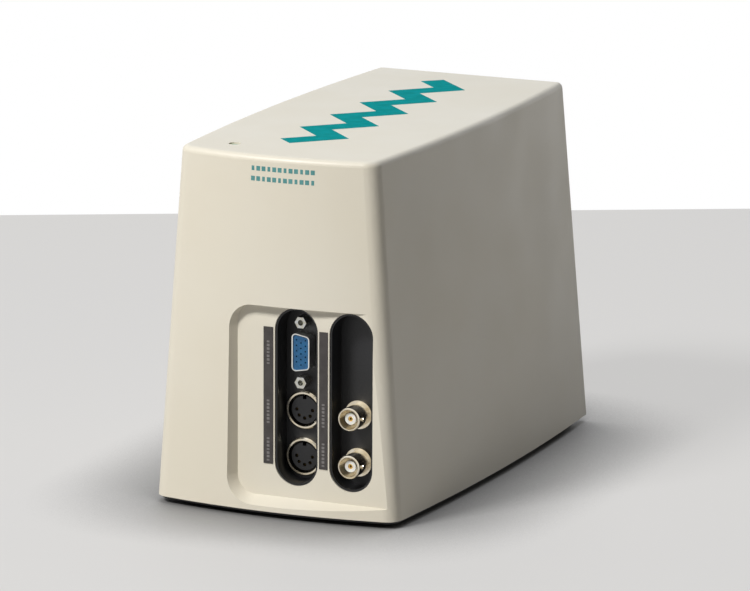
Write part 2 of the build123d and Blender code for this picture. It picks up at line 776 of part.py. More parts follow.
def make_jackscrews():
    """Two hexagonal jack posts that clamp the flange to the panel and take the plug's screws."""
    posts = []
    tip = PANEL_FACE - JACK_PROUD
    for z in jack_heights():
        head = along_y(RegularPolygon(JACK_RADIUS, 6), WELLS_X[0], z, tip, PANEL_FACE)
        shank = rod_y(WELLS_X[0], z, PANEL_FACE, PANEL_BACK + DSUB_FLANGE + JACK_END, JACK_SHANK)
        bore = rod_y(WELLS_X[0], z, tip - PAST, PANEL_FACE - JACK_BORE_FLOOR, JACK_BORE)
        posts.append(head + shank - bore)
    return posts


def din_pin_places(z):
    """Contact places on their circle, spread over the lower part of the face."""
    places = []
    for i in range(DIN_PIN_COUNT):
        angle = math.radians(-90 + (i - (DIN_PIN_COUNT - 1) / 2) * DIN_PIN_SWEEP)
        places.append((WELLS_X[0] + DIN_PIN_CIRCLE * math.cos(angle), z + DIN_PIN_CIRCLE * math.sin(angle)))
    return places


def make_din_shell(z):
    """Plated shell: a ring proud of the panel and a barrel through it."""
    ring = rod_y(WELLS_X[0], z, PANEL_FACE - DIN_RING, PANEL_FACE, DIN_RING_RADIUS)
    ring = chamfer(ring.edges().sort_by(Axis.Y)[0], DIN_RING / 5)
    end = PANEL_BACK + DIN_REAR
    barrel = rod_y(WELLS_X[0], z, PANEL_FACE, end, DIN_BARREL_RADIUS - SLIP)
    bore = rod_y(WELLS_X[0], z, PANEL_FACE - DIN_RING - PAST, end + PAST, DIN_BORE_RADIUS)
    return ring + barrel - bore


def din_face():
    """The front of the contact block, a little inside the ring."""
    return PANEL_FACE - DIN_RING + DIN_INSERT_BACK


def make_din_insert(z):
    """Moulded contact block with its key groove, on a disc that closes the shell."""
    front = din_face()
    end = PANEL_BACK + DIN_REAR
    body = rod_y(WELLS_X[0], z, front, end, DIN_INSERT_RADIUS)
    body = body + rod_y(WELLS_X[0], z, end - DIN_DISC, end, DIN_BORE_RADIUS - SLIP)
    half = DIN_KEY / 2
    top = z + DIN_INSERT_RADIUS
    groove = block(
        WELLS_X[0] - half, WELLS_X[0] + half, front - PAST, end - DIN_DISC, top - DIN_KEY_DEPTH, top + PAST
    )
    body = body - groove
    for x, pin_z in din_pin_places(z):
        body = body - rod_y(x, pin_z, front - PAST, end + PAST, DIN_PIN_RADIUS + PIN_CLEARANCE)
    return body


def make_din_contacts(z):
    """Contacts of one round socket, back to the board."""
    start = din_face() + DIN_PIN_SET_IN
    return [rod_y(x, pin_z, start, FRONT_BOARD_FACE, DIN_PIN_RADIUS) for x, pin_z in din_pin_places(z)]


def make_bnc_body(z):
    """Turned socket body: sleeve with bayonet lugs, collar and threaded tail."""
    x = WELLS_X[1]
    tip = PANEL_FACE - BNC_PROUD
    sleeve = rod_y(x, z, tip, PANEL_FACE, BNC_SLEEVE_RADIUS)
    sleeve = chamfer(sleeve.edges().sort_by(Axis.Y)[0], BNC_EDGE)
    collar = rod_y(x, z, PANEL_FACE - BNC_COLLAR, PANEL_FACE, BNC_COLLAR_RADIUS)
    tail = rod_y(x, z, PANEL_FACE, PANEL_BACK + BNC_REAR, BNC_THREAD_RADIUS - SLIP)
    lug_y = tip + BNC_LUG_BACK
    lugs = rod_x(lug_y, z, x - BNC_LUG_SPAN / 2, x + BNC_LUG_SPAN / 2, BNC_LUG_RADIUS)
    body = sleeve + collar + tail + lugs
    body = body - rod_y(x, z, tip - PAST, PANEL_FACE - BNC_COLLAR, BNC_BORE_RADIUS)
    return body - rod_y(x, z, tip - PAST, PANEL_BACK + BNC_REAR + PAST, BNC_DIELECTRIC_RADIUS)


def make_bnc_dielectric(z):
    """White plastic core round the centre contact."""
    x = WELLS_X[1]
    front = PANEL_FACE - BNC_DIELECTRIC_PROUD
    end = PANEL_BACK + BNC_REAR
    body = rod_y(x, z, front, end, BNC_DIELECTRIC_RADIUS - SLIP)
    return body - rod_y(x, z, front - PAST, end + PAST, BNC_CONTACT_RADIUS)


def make_bnc_contact(z):
    """Gold centre contact: a tube at the front and a solder pin behind."""
    x = WELLS_X[1]
    front = PANEL_FACE - BNC_DIELECTRIC_PROUD + BNC_CONTACT_SET_IN
    body = rod_y(x, z, front, FRONT_BOARD_FACE, BNC_CONTACT_RADIUS - SLIP)
    return body - rod_y(x, z, front - PAST, front + BNC_CONTACT_DEPTH, BNC_CONTACT_BORE)


def hex_nut_y(x, z, y0, thick, across, bore):
    """A hexagonal nut on an axis along Y."""
    body = along_y(RegularPolygon(across / 2, 6, major_radius=False), x, z, y0, y0 + thick)
    return body - rod_y(x, z, y0 - PAST, y0 + thick + PAST, bore)


def make_bnc_nuts():
    """Nuts that clamp the coaxial sockets from behind the panel."""
    return [
        hex_nut_y(WELLS_X[1], COVER_BOTTOM + z, PANEL_BACK, BNC_NUT, BNC_NUT_ACROSS, BNC_THREAD_RADIUS)
        for z in BNC_Z
    ]


def make_front_board():
    """Circuit board that the front connectors are soldered to."""
    return block(
        FRONT_BOARD_LEFT,
        FRONT_BOARD_RIGHT,
        FRONT_BOARD_FACE,
        FRONT_BOARD_FACE + BOARD,
        COVER_BOTTOM + FRONT_BOARD_BOTTOM,
        COVER_BOTTOM + FRONT_BOARD_TOP,
    )


def make_status_led():
    """Flat-topped light with its rim, pushed up into its boss in the cover."""
    y = FRONT + LED_BACK
    top = COVER_TOP - LED_SUNK
    body = rod_z(LED_X, y, top - LED_LENGTH, top, LED_RADIUS)
    body = chamfer(body.edges().sort_by(Axis.Z)[-1], LED_EDGE)
    return body + rod_z(LED_X, y, top - LED_LENGTH, top - LED_LENGTH + LED_RIM, LED_RIM_RADIUS)


def make_led_clip():
    """Push-on ring that holds the light in its boss."""
    y = FRONT + LED_BACK
    rim_under = led_seat() - LED_RIM
    outside = LED_BOSS_RADIUS + LED_CLIP_WALL
    body = rod_z(LED_X, y, rim_under - LED_CLIP_WALL, rim_under + LED_CLIP_GRIP, outside)
    return body - rod_z(LED_X, y, rim_under, rim_under + LED_CLIP_GRIP + PAST, LED_BOSS_RADIUS + SLIP)


def standoff_places():
    """The four corners of the main board where it is held."""
    half = MAIN_WIDTH / 2 - STANDOFF_INSET
    rows = (MAIN_FRONT + STANDOFF_INSET, MAIN_REAR - STANDOFF_INSET)
    return [(side * half, y) for side in (-1, 1) for y in rows]


def make_standoffs():
    """Hexagonal pillars between the base and the main board."""
    pillars = []
    for x, y in standoff_places():
        pillar = Pos(x, y, BASE_TOP) * extrude(RegularPolygon(STANDOFF_RADIUS, 6), amount=STANDOFF)
        pillars.append(pillar - rod_z(x, y, BASE_TOP - PAST, MAIN_BOTTOM + PAST, SCREW_RADIUS))
    return pillars


def make_board_screws():
    """Screws that hold the pillars from below the base."""
    return [base_screw(x, y, SHEET + STANDOFF / 2) for x, y in standoff_places()]


def make_main_board():
    """Main circuit board on its four pillars."""
    board = block(-MAIN_WIDTH / 2, MAIN_WIDTH / 2, MAIN_FRONT, MAIN_REAR, MAIN_BOTTOM, MAIN_TOP)
    for x, y in standoff_places():
        hole = rod_z(x, y, MAIN_BOTTOM - PAST, MAIN_TOP + PAST, SCREW_RADIUS + HOLE_CLEARANCE)
        board = board - hole
    return board


def on_board(size, x, y):
    """A block of a given size, standing on the main board."""
    w, d, h = size
    return block(x - w / 2, x + w / 2, y - d / 2, y + d / 2, MAIN_TOP, MAIN_TOP + h)


def capacitor_x():
    """The line of the reservoir capacitors, along the left of the main board."""
    return -MAIN_WIDTH / 2 + BOARD_MARGIN + CAPACITOR_RADIUS


def make_capacitors():
    """Reservoir capacitors that share the stretch in front of the output transistors."""
    cans = []
    for i in range(CAPACITOR_COUNT):
        y = PARTS_FRONT + CAPACITOR_PITCH * i + CAPACITOR_RADIUS
        cans.append(rod_z(capacitor_x(), y, MAIN_TOP, MAIN_TOP + CAPACITOR_HEIGHT, CAPACITOR_RADIUS))
    return cans


def make_relays():
    """Current-range relays in a row."""
    right = MAIN_WIDTH / 2 - STANDOFF_INSET
    y = RELAY_FRONT + RELAY[1] / 2
    return [on_board(RELAY, right - i * RELAY_PITCH, y) for i in range(RELAY_COUNT)]


def make_chips():
    """Converter and logic chips, evenly between the capacitors and the screening can."""
    left = capacitor_x() + CAPACITOR_RADIUS
    share = (SHIELD_LEFT - left) / CHIP_COUNT
    y = RELAY_FRONT - BOARD_MARGIN - CHIP[1] / 2
    return [on_board(CHIP, left + share * (i + 1 / 2), y) for i in range(CHIP_COUNT)]


def make_shield():
    """Folded tin screen over the measuring stage."""
    depth = RELAY_FRONT - BOARD_MARGIN - PARTS_FRONT
    x = SHIELD_LEFT + SHIELD_WIDTH / 2
    y = PARTS_FRONT + depth / 2
    can = on_board((SHIELD_WIDTH, depth, SHIELD_HEIGHT), x, y)
    can = fillet(can.edges().filter_by(Axis.Z), SHIELD_ROUND)
    thick = 2 * SHIELD_SHEET
    return can - on_board((SHIELD_WIDTH - thick, depth - thick, SHIELD_HEIGHT - SHIELD_SHEET), x, y)


def make_header():
    """Pin header that joins the front board to the main board."""
    w, d, h = HEADER
    x = (FRONT_BOARD_LEFT + FRONT_BOARD_RIGHT) / 2
    y0 = FRONT_BOARD_FACE + BOARD
    return block(x - w / 2, x + w / 2, y0, y0 + d, MAIN_TOP, MAIN_TOP + h)


def make_heat_sink():
    """Extruded heat sink standing on the main board, its fins to the rear."""
    half = SINK_WIDTH / 2
    y0 = SINK_Y
    y1 = SINK_Y + SINK_BASE
    body = block(-half, half, y0, y1, MAIN_TOP, MAIN_TOP + SINK_HEIGHT)
    step = (SINK_WIDTH - SINK_FIN_THICK) / (SINK_FIN_COUNT - 1)
    for i in range(SINK_FIN_COUNT):
        x = -half + i * step
        body = body + block(x, x + SINK_FIN_THICK, y1, y1 + SINK_FIN, MAIN_TOP, MAIN_TOP + SINK_HEIGHT)
    return body


def make_transistors():
    """Output transistors against the front of the heat sink, each on its legs."""
    w, d, h = TRANSISTOR
    pitch = SINK_WIDTH / TRANSISTOR_COUNT
    low = MAIN_TOP + TRANSISTOR_LEG
    found = []
    for i in range(TRANSISTOR_COUNT):
        x = -SINK_WIDTH / 2 + pitch * (i + 1 / 2)
        body = block(x - w / 2, x + w / 2, TRANSISTOR_FRONT, SINK_Y, low, low + h)
        for leg in (-1, 0, 1):
            size = (TRANSISTOR_LEG_THICK, TRANSISTOR_LEG_THICK, TRANSISTOR_LEG)
            body = body + on_board(size, x + leg * w / 4, TRANSISTOR_FRONT + d / 2)
        found.append(body)
    return found


def make_toroid():
    """Ring transformer, its windings sloping at the shoulders."""
    z0 = BASE_TOP + PAD_THICK
    z1 = z0 + TOROID_HEIGHT
    ring = rod_z(TOROID_X, TOROID_Y, z0, z1, TOROID_RADIUS)
    ring = ring - rod_z(TOROID_X, TOROID_Y, z0 - PAST, z1 + PAST, TOROID_BORE)
    return chamfer(ring.edges().filter_by(GeomType.CIRCLE), TOROID_SHOULDER)


def make_toroid_pads():
    """Rubber rings under and over the transformer."""
    pads = []
    for z0 in (BASE_TOP, BASE_TOP + PAD_THICK + TOROID_HEIGHT):
        pad = rod_z(TOROID_X, TOROID_Y, z0, z0 + PAD_THICK, DISH_RADIUS)
        pads.append(pad - rod_z(TOROID_X, TOROID_Y, z0 - PAST, z0 + PAD_THICK + PAST, TOROID_BORE))
    return pads


def dish_height():
    """The height at which the clamping dish sits."""
    return BASE_TOP + 2 * PAD_THICK + TOROID_HEIGHT


def make_dish():
    """Pressed dish that clamps the transformer, dipping into its bore."""
    z0 = dish_height()
    rim = rod_z(TOROID_X, TOROID_Y, z0, z0 + DISH_THICK, DISH_RADIUS)
    low = z0 - DISH_DROP
    cup_radius = TOROID_BORE - TOROID_SHOULDER / 4
    cup = rod_z(TOROID_X, TOROID_Y, low, z0, cup_radius)
    floor = low + DISH_THICK
    inside = rod_z(TOROID_X, TOROID_Y, floor, z0 + DISH_THICK + PAST, cup_radius - DISH_THICK)
    hole = rod_z(TOROID_X, TOROID_Y, low - PAST, z0, TOROID_BOLT_RADIUS + HOLE_CLEARANCE)
    return rim + cup - inside - hole


def make_toroid_bolt():
    """Bolt from below the base up through the dish."""
    low = FOOT_PROUD - SCREW_HEAD
    head = rod_z(TOROID_X, TOROID_Y, low, FOOT_PROUD, TOROID_BOLT_HEAD_RADIUS)
    top = dish_height() - DISH_DROP + DISH_THICK + TOROID_BOLT_END
    return head + rod_z(TOROID_X, TOROID_Y, FOOT_PROUD, top, TOROID_BOLT_RADIUS)


def make_toroid_nut():
    """Nut in the cup of the clamping dish."""
    z0 = dish_height() - DISH_DROP + DISH_THICK
    outside = RegularPolygon(TOROID_NUT_ACROSS / 2, 6, major_radius=False)
    nut = Pos(TOROID_X, TOROID_Y, z0) * extrude(outside, amount=TOROID_NUT)
    return nut - rod_z(TOROID_X, TOROID_Y, z0 - PAST, z0 + TOROID_NUT + PAST, TOROID_BOLT_RADIUS + SLIP)


def blade_places():
    """Line and neutral blades below, the earth blade between and above them."""
    places = []
    for side in (-1, 0, 1):
        rise = BLADE_RISE / 2 if side == 0 else -BLADE_RISE / 2
        places.append((INLET_X + side * BLADE_SPACING / 2, INLET_Z + INLET_MOUTH_RISE + rise))
    return places


def inlet_screw_places():
    """The screws on each side of the inlet."""
    return [INLET_X + side * INLET_SCREW_SPACING / 2 for side in (-1, 1)]


def blade_block(x, z, y0, y1):
    """A bar with a blade's section."""
    half_w = BLADE_WIDTH / 2
    half_h = BLADE_HEIGHT / 2
    return block(x - half_w, x + half_w, y0, y1, z - half_h, z + half_h)


def make_inlet_body():
    """Moulded inlet: flange, body, the plug's mouth and the drawer's bay."""
    flange = RectangleRounded(INLET_FLANGE_WIDTH, INLET_FLANGE_HEIGHT, INLET_FLANGE)
    body = along_y(flange, INLET_X, INLET_Z, REAR_PANEL_FACE, INLET_FACE)
    outside = Rectangle(INLET_BODY_WIDTH, INLET_BODY_HEIGHT)
    body = body + along_y(outside, INLET_X, INLET_Z, INLET_BACK, REAR_PANEL_FACE)
    mouth = mouth_profile(INLET_MOUTH_WIDTH, INLET_MOUTH_HEIGHT, INLET_MOUTH_CHAMFER)
    floor = INLET_FACE - INLET_MOUTH_DEPTH
    body = body - along_y(mouth, INLET_X, INLET_Z + INLET_MOUTH_RISE, floor, INLET_FACE + PAST)
    for x, z in blade_places():
        body = body - blade_block(x, z, INLET_BACK - PAST, floor + PAST)
    bay = Rectangle(DRAWER_WIDTH + 2 * DRAWER_CLEARANCE, DRAWER_HEIGHT + 2 * DRAWER_CLEARANCE)
    bay_back = INLET_FACE - DRAWER_DEPTH - DRAWER_CLEARANCE
    body = body - along_y(bay, INLET_X, INLET_Z - DRAWER_DROP, bay_back, INLET_FACE + PAST)
    for x in inlet_screw_places():
        hole = rod_y(x, INLET_Z, REAR_PANEL_FACE - PAST, INLET_FACE + PAST, SCREW_RADIUS + HOLE_CLEARANCE)
        body = body - hole
    return body


def make_inlet_blades():
    """Three plated blades with their tails behind the body."""
    blades = []
    for x, z in blade_places():
        blade = blade_block(x, z, INLET_BACK - BLADE_TAIL, INLET_FACE - BLADE_SET_IN)
        tip = blade.faces().sort_by(Axis.Y)[-1].edges()
        blades.append(chamfer(tip, BLADE_WIDTH / 5))
    return blades


def make_inlet_screws():
    """Two slotted screws through the inlet's flange."""
    screws = []
    top = INLET_FACE + INLET_SCREW_HEAD
    slit = Rectangle(2 * SCREW_HEAD_RADIUS, INLET_SCREW_SLOT)
    for x in inlet_screw_places():
        head = rod_y(x, INLET_Z, INLET_FACE, top, SCREW_HEAD_RADIUS)
        head = chamfer(head.edges().sort_by(Axis.Y)[-1], INLET_SCREW_EDGE)
        slot = along_y(slit, x, INLET_Z, top - INLET_SCREW_SLOT, top + PAST)
        shank = rod_y(x, INLET_Z, REAR_PANEL_INSIDE - INLET_SCREW_REACH, INLET_FACE, SCREW_RADIUS)
        screws.append(head + shank - slot)
    return screws


def make_inlet_nuts():
    """Nuts behind the rear panel on the inlet's screws."""
    start = REAR_PANEL_INSIDE - INLET_NUT
    bore = SCREW_RADIUS + SLIP
    return [hex_nut_y(x, INLET_Z, start, INLET_NUT, INLET_NUT_ACROSS, bore) for x in inlet_screw_places()]


def make_fuse_drawer():
    """Drawer with its lipped face and a cradle for the fuse."""
    z = INLET_Z - DRAWER_DROP
    gap = DRAWER_CLEARANCE / 2
    lip_back = INLET_FACE + gap
    lip_face = lip_back + DRAWER_FACE
    margin = 2 * DRAWER_FACE_MARGIN
    body = along_y(Rectangle(DRAWER_WIDTH, DRAWER_HEIGHT), INLET_X, z, INLET_FACE - DRAWER_DEPTH, lip_back)
    lip = RectangleRounded(DRAWER_WIDTH + margin, DRAWER_HEIGHT + margin, DRAWER_FACE)
    body = body + along_y(lip, INLET_X, z, lip_back, lip_face)
    fuse_y = fuse_centre()[1]
    x0 = INLET_X - FUSE_LENGTH / 2 - FUSE_CLEARANCE
    x1 = INLET_X + FUSE_LENGTH / 2 + FUSE_CLEARANCE
    radius = FUSE_RADIUS + FUSE_CLEARANCE
    body = body - block(x0, x1, fuse_y - radius, fuse_y + radius, z, z + DRAWER_HEIGHT)
    body = body - rod_x(fuse_y, z, x0, x1, radius)
    grip = Rectangle(DRAWER_GRIP_WIDTH, DRAWER_GRIP_HEIGHT)
    return body - along_y(grip, INLET_X, z, lip_back + DRAWER_FACE / 2, lip_face + PAST)


def fuse_centre():
    """Where the fuse lies in its drawer."""
    y = INLET_FACE - DRAWER_DEPTH + DRAWER_WALL + FUSE_RADIUS + FUSE_CLEARANCE
    return INLET_X, y, INLET_Z - DRAWER_DROP


def make_fuse_glass():
    """Glass tube of the fuse."""
    x, y, z = fuse_centre()
    half = FUSE_LENGTH / 2 - FUSE_CAP
    return rod_x(y, z, x - half, x + half, FUSE_RADIUS - FUSE_CAP_SHEET)


def make_fuse_caps():
    """Two plated end caps of the fuse."""
    x, y, z = fuse_centre()
    half = FUSE_LENGTH / 2
    return [
        rod_x(y, z, x - half, x - half + FUSE_CAP, FUSE_RADIUS),
        rod_x(y, z, x + half - FUSE_CAP, x + half, FUSE_RADIUS),
    ]


def switch_body_size():
    """Width and height of the switch body that passes through the panel."""
    width = ROCKER_WIDTH + 2 * ROCKER_CLEARANCE + 2 * SWITCH_WALL
    height = 2 * (ROCKER_REACH + ROCKER_CLEARANCE + SWITCH_WALL)
    return width, height


def pivot_place():
    """Y and Z of the rocker's pivot."""
    return REAR_PANEL_FACE + SWITCH_BEZEL - ROCKER_BACK - PIVOT_SET_IN, SWITCH_Z


def make_switch_frame():
    """Snap-in switch body: bezel, walls and the bay that the rocker tilts in."""
    width, height = switch_body_size()
    face = REAR_PANEL_FACE + SWITCH_BEZEL
    bezel = RectangleRounded(SWITCH_BEZEL_WIDTH, SWITCH_BEZEL_HEIGHT, SWITCH_BEZEL)
    body = along_y(bezel, SWITCH_X, SWITCH_Z, REAR_PANEL_FACE, face)
    body = chamfer(body.faces().sort_by(Axis.Y)[-1].edges(), SWITCH_BEZEL / 4)
    body = body + along_y(Rectangle(width, height), SWITCH_X, SWITCH_Z, face - SWITCH_DEPTH, REAR_PANEL_FACE)
    bay = Rectangle(width - 2 * SWITCH_WALL, height - 2 * SWITCH_WALL)
    body = body - along_y(bay, SWITCH_X, SWITCH_Z, face - SWITCH_CAVITY, face + PAST)
    y, z = pivot_place()
    reach = ROCKER_WIDTH / 2 + TRUNNION_REACH + TRUNNION_CLEARANCE
    return body - rod_x(y, z, SWITCH_X - reach, SWITCH_X + reach, TRUNNION_RADIUS + TRUNNION_CLEARANCE)


def make_rocker():
    """Rocker at its off end: a dished face, round ends about the pivot and two trunnions."""
    points = [
        (ROCKER_FACE + ROCKER_DIP, -ROCKER_REACH),
        (ROCKER_FACE, 0),
        (ROCKER_FACE + ROCKER_DIP, ROCKER_REACH),
        (-ROCKER_BACK, ROCKER_REACH * ROCKER_BACK_SHARE),
        (-ROCKER_BACK, -ROCKER_REACH * ROCKER_BACK_SHARE),
    ]
    profile = make_face(Polyline(*points, close=True))
    body = extrude(Plane.YZ * profile, amount=ROCKER_WIDTH / 2, both=True)
    body = body & rod_x(0, 0, -ROCKER_WIDTH, ROCKER_WIDTH, ROCKER_REACH)
    reach = ROCKER_WIDTH / 2 + TRUNNION_REACH
    body = body + rod_x(0, 0, -reach, reach, TRUNNION_RADIUS)
    y, z = pivot_place()
    return Pos(SWITCH_X, y, z) * Rot(ROCKER_TILT, 0, 0) * body


def make_switch_terminals():
    """Two tab terminals behind the switch."""
    end = REAR_PANEL_FACE + SWITCH_BEZEL - SWITCH_DEPTH
    half = TERMINAL_WIDTH / 2
    tabs = []
    for side in (-1, 1):
        low = SWITCH_Z + (side * TERMINAL_SPACING - TERMINAL_THICK) / 2
        tab = block(SWITCH_X - half, SWITCH_X + half, end - TERMINAL_LENGTH, end, low, low + TERMINAL_THICK)
        tabs.append(tab)
    return tabs


def usb_profile(width, height, cut):
    """The near-square data socket outline, its two upper corners cut."""
    sketch = Rectangle(width, height)
    return chamfer(sketch.vertices().sort_by(Axis.Y)[-2:], cut)


def make_usb_shell():
    """Plated shell of the data socket, with a flange behind the panel."""
    back = REAR_PANEL_FACE - USB_DEPTH
    outside = usb_profile(USB_WIDTH, USB_HEIGHT, USB_SHELL)
    body = along_y(outside, USB_X, USB_Z, back, REAR_PANEL_FACE)
    flange = Rectangle(USB_WIDTH + 2 * USB_FLANGE, USB_HEIGHT)
    body = body + along_y(flange, USB_X, USB_Z, REAR_PANEL_INSIDE - USB_SHELL, REAR_PANEL_INSIDE)
    inside = Rectangle(USB_WIDTH - 2 * USB_SHELL, USB_HEIGHT - 2 * USB_SHELL)
    return body - along_y(inside, USB_X, USB_Z, back - PAST, REAR_PANEL_FACE + PAST)


def make_usb_insert():
    """Moulded core of the data socket with its tongue."""
    width = USB_WIDTH - 2 * (USB_SHELL + SLIP)
    height = USB_HEIGHT - 2 * (USB_SHELL + SLIP)
    front = REAR_PANEL_FACE - USB_CORE_SET_IN
    floor = front - USB_MOUTH_DEPTH
    body = along_y(Rectangle(width, height), USB_X, USB_Z, REAR_PANEL_FACE - USB_DEPTH, front)
    mouth = usb_profile(width - 2 * USB_CORE_SIDE, height - 2 * USB_CORE_TOP, USB_CHAMFER)
    body = body - along_y(mouth, USB_X, USB_Z, floor, front + PAST)
    tongue = Rectangle(USB_TONGUE_WIDTH, USB_TONGUE_HEIGHT)
    return body + along_y(tongue, USB_X, USB_Z, floor, front - USB_TONGUE_SET_IN)


def make_earth_tube():
    """Brass tube that takes a 4 mm plug, with its threaded tail."""
    face = REAR_PANEL_FACE + EARTH_FLANGE
    body = rod_y(EARTH_X, EARTH_Z, face - EARTH_TUBE_LENGTH, face - EARTH_TUBE_SET_IN, EARTH_TUBE_RADIUS)
    return body - rod_y(EARTH_X, EARTH_Z, face - EARTH_BORE_DEPTH, face + PAST, EARTH_BORE_RADIUS)


def make_earth_sleeve():
    """Moulded sleeve round the earth tube, flanged outside the panel."""
    face = REAR_PANEL_FACE + EARTH_FLANGE
    body = rod_y(EARTH_X, EARTH_Z, REAR_PANEL_FACE, face, EARTH_FLANGE_RADIUS)
    body = chamfer(body.edges().sort_by(Axis.Y)[-1], EARTH_FLANGE / 4)
    back = REAR_PANEL_INSIDE - EARTH_SLEEVE_REAR
    body = body + rod_y(EARTH_X, EARTH_Z, back, REAR_PANEL_FACE, EARTH_SLEEVE_RADIUS)
    return body - rod_y(EARTH_X, EARTH_Z, back - PAST, face + PAST, EARTH_TUBE_RADIUS + SLIP)


def make_earth_nut():
    """Nut that clamps the earth socket behind the panel."""
    start = REAR_PANEL_INSIDE - EARTH_NUT
    return hex_nut_y(EARTH_X, EARTH_Z, start, EARTH_NUT, EARTH_NUT_ACROSS, EARTH_SLEEVE_RADIUS + SLIP)


def make_all():
    """Every node by name."""
    legend_left, legend_middle = make_legends()
    nodes = {
        "cover": make_cover(),
        "well_liner": make_well_liner(),
        "legend_strip_left": legend_left,
        "legend_strip_middle": legend_middle,
        "chassis": make_chassis(),
        "rubber_feet": make_feet(),
        "cover_screws": make_cover_screws(),
        "connector_panel": make_connector_panel(),
        "panel_screws": make_panel_screws(),
        "control_socket_shell": make_dsub_shell(),
        "control_socket_insulator": make_dsub_insulator(),
        "control_socket_contacts": make_dsub_contacts(),
        "jackscrews": make_jackscrews(),
        "front_board": make_front_board(),
        "bnc_nuts": make_bnc_nuts(),
        "status_led": make_status_led(),
        "led_clip": make_led_clip(),
        "main_board": make_main_board(),
        "standoffs": make_standoffs(),
        "board_screws": make_board_screws(),
        "reservoir_capacitors": make_capacitors(),
        "range_relays": make_relays(),
        "converter_chips": make_chips(),
        "screening_can": make_shield(),
        "board_header": make_header(),
        "heat_sink": make_heat_sink(),
        "output_transistors": make_transistors(),
        "ring_transformer": make_toroid(),
        "transformer_pads": make_toroid_pads(),
        "transformer_dish": make_dish(),
        "transformer_bolt": make_toroid_bolt(),
        "transformer_nut": make_toroid_nut(),
        "inlet_body": make_inlet_body(),
        "inlet_blades": make_inlet_blades(),
        "inlet_screws": make_inlet_screws(),
        "inlet_nuts": make_inlet_nuts(),
        "fuse_drawer": make_fuse_drawer(),
        "fuse_glass": make_fuse_glass(),
        "fuse_caps": make_fuse_caps(),
        "switch_frame": make_switch_frame(),
        "power_rocker": make_rocker(),
        "switch_terminals": make_switch_terminals(),
        "usb_shell": make_usb_shell(),
        "usb_insert": make_usb_insert(),
        "earth_tube": make_earth_tube(),
        "earth_sleeve": make_earth_sleeve(),
        "earth_nut": make_earth_nut(),
    }
    for name, z in zip(("upper", "lower"), DIN_Z):
        height = COVER_BOTTOM + z
        nodes["cell_socket_shell_" + name] = make_din_shell(height)
        nodes["cell_socket_insert_" + name] = make_din_insert(height)
        nodes["cell_socket_contacts_" + name] = make_din_contacts(height)
    for name, z in zip(("upper", "lower"), BNC_Z):
        height = COVER_BOTTOM + z
        nodes["bnc_body_" + name] = make_bnc_body(height)
        nodes["bnc_dielectric_" + name] = make_bnc_dielectric(height)
        nodes["bnc_contact_" + name] = make_bnc_contact(height)
    return nodes


os.makedirs("parts", exist_ok=True)
for node, shape in make_all().items():
    solids = shape if isinstance(shape, list) else [shape]
    export_step(Compound(children=[s for one in solids for s in one.solids()]), "parts/" + node + ".step")
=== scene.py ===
import math

import bmesh
import bpy
from bpy.props import FloatProperty, IntProperty, PointerProperty, StringProperty
from mathutils import Matrix, Vector
from mathutils.bvhtree import BVHTree


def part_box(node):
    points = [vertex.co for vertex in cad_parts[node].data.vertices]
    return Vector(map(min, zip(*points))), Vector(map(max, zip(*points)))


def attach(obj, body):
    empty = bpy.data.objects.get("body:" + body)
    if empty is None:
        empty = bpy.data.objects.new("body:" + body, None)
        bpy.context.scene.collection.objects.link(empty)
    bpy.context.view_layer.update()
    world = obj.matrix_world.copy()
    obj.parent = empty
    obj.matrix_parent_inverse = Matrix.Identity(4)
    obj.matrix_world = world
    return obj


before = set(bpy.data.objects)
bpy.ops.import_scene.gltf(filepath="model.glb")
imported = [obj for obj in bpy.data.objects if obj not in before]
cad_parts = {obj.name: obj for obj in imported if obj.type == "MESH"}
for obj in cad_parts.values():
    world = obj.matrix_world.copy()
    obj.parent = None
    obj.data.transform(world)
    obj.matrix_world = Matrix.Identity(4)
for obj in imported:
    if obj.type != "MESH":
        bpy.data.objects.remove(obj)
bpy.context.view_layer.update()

bl_info = {
    "name": "Bench potentiostat",
    "version": (1, 0, 0),
    "blender": (4, 5, 0),
    "location": "View3D > Sidebar > Potentiostat",
    "description": "Dresses the bench potentiostat and sets its stage",
    "category": "Object",
}

MM = 0.001
CASE = "case"

COVER_LOW, COVER_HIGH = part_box("cover")

# How blurred the clear coat of a glossy piece is.
COAT_ROUGHNESS = 0.1

# Most of a noise texture's values lie between these, so they give the full change of tone or gloss.
TONE_SPAN = (0.35, 0.65)
GLOSS_SPAN = (0.3, 0.7)

# Bands that the wave texture draws along an axis in a unit of length, at a scale of one.
WAVE_BANDS = 20 / (2 * math.pi)

# The texture's scale along the streaks of extruded metal, against one across them.
STREAK_SCALE = 0.04

# The least cosine at a corner of the motif, which limits how far its mitre reaches.
MITRE_LIMIT = 0.4

# How far in front of the cover the search for its skin starts, and the steps across a dash.
SKIN_SEARCH = 50 * MM
PATCH_STEPS = 2

# Shares of its room that a dash or a mark fills, in turn.
DASH_SHARES = (0.5, 0.72, 0.72)
MARK_SHARES = (0.52, 0.72, 0.72)

# What the camera and the lamps look at, the camera's place, and its slight lean in radians.
TARGET = Vector((0.0, 0.0, 0.072))
CAMERA_PLACE = Vector((0.9579, -2.1464, 0.5955))
CAMERA_ROLL = 0.0045

# The camera's sensor in millimetres, and how far it sees in metres.
SENSOR_WIDTH = 36
SIGHT_LIMIT = 20

# The table top in metres: its far edge lies behind the object and isn't quite square to the view.
TABLE_NEAR = 3.2
TABLE_HALF_WIDTH = 3.0
TABLE_BEHIND = 0.52
TABLE_TURN = 0.065
TABLE_THICKNESS = 0.02

# How steeply the plain light on the floor fades towards the object, and the rays that find it.
CONTACT_STEEPNESS = 3.0
CONTACT_SAMPLES = 8

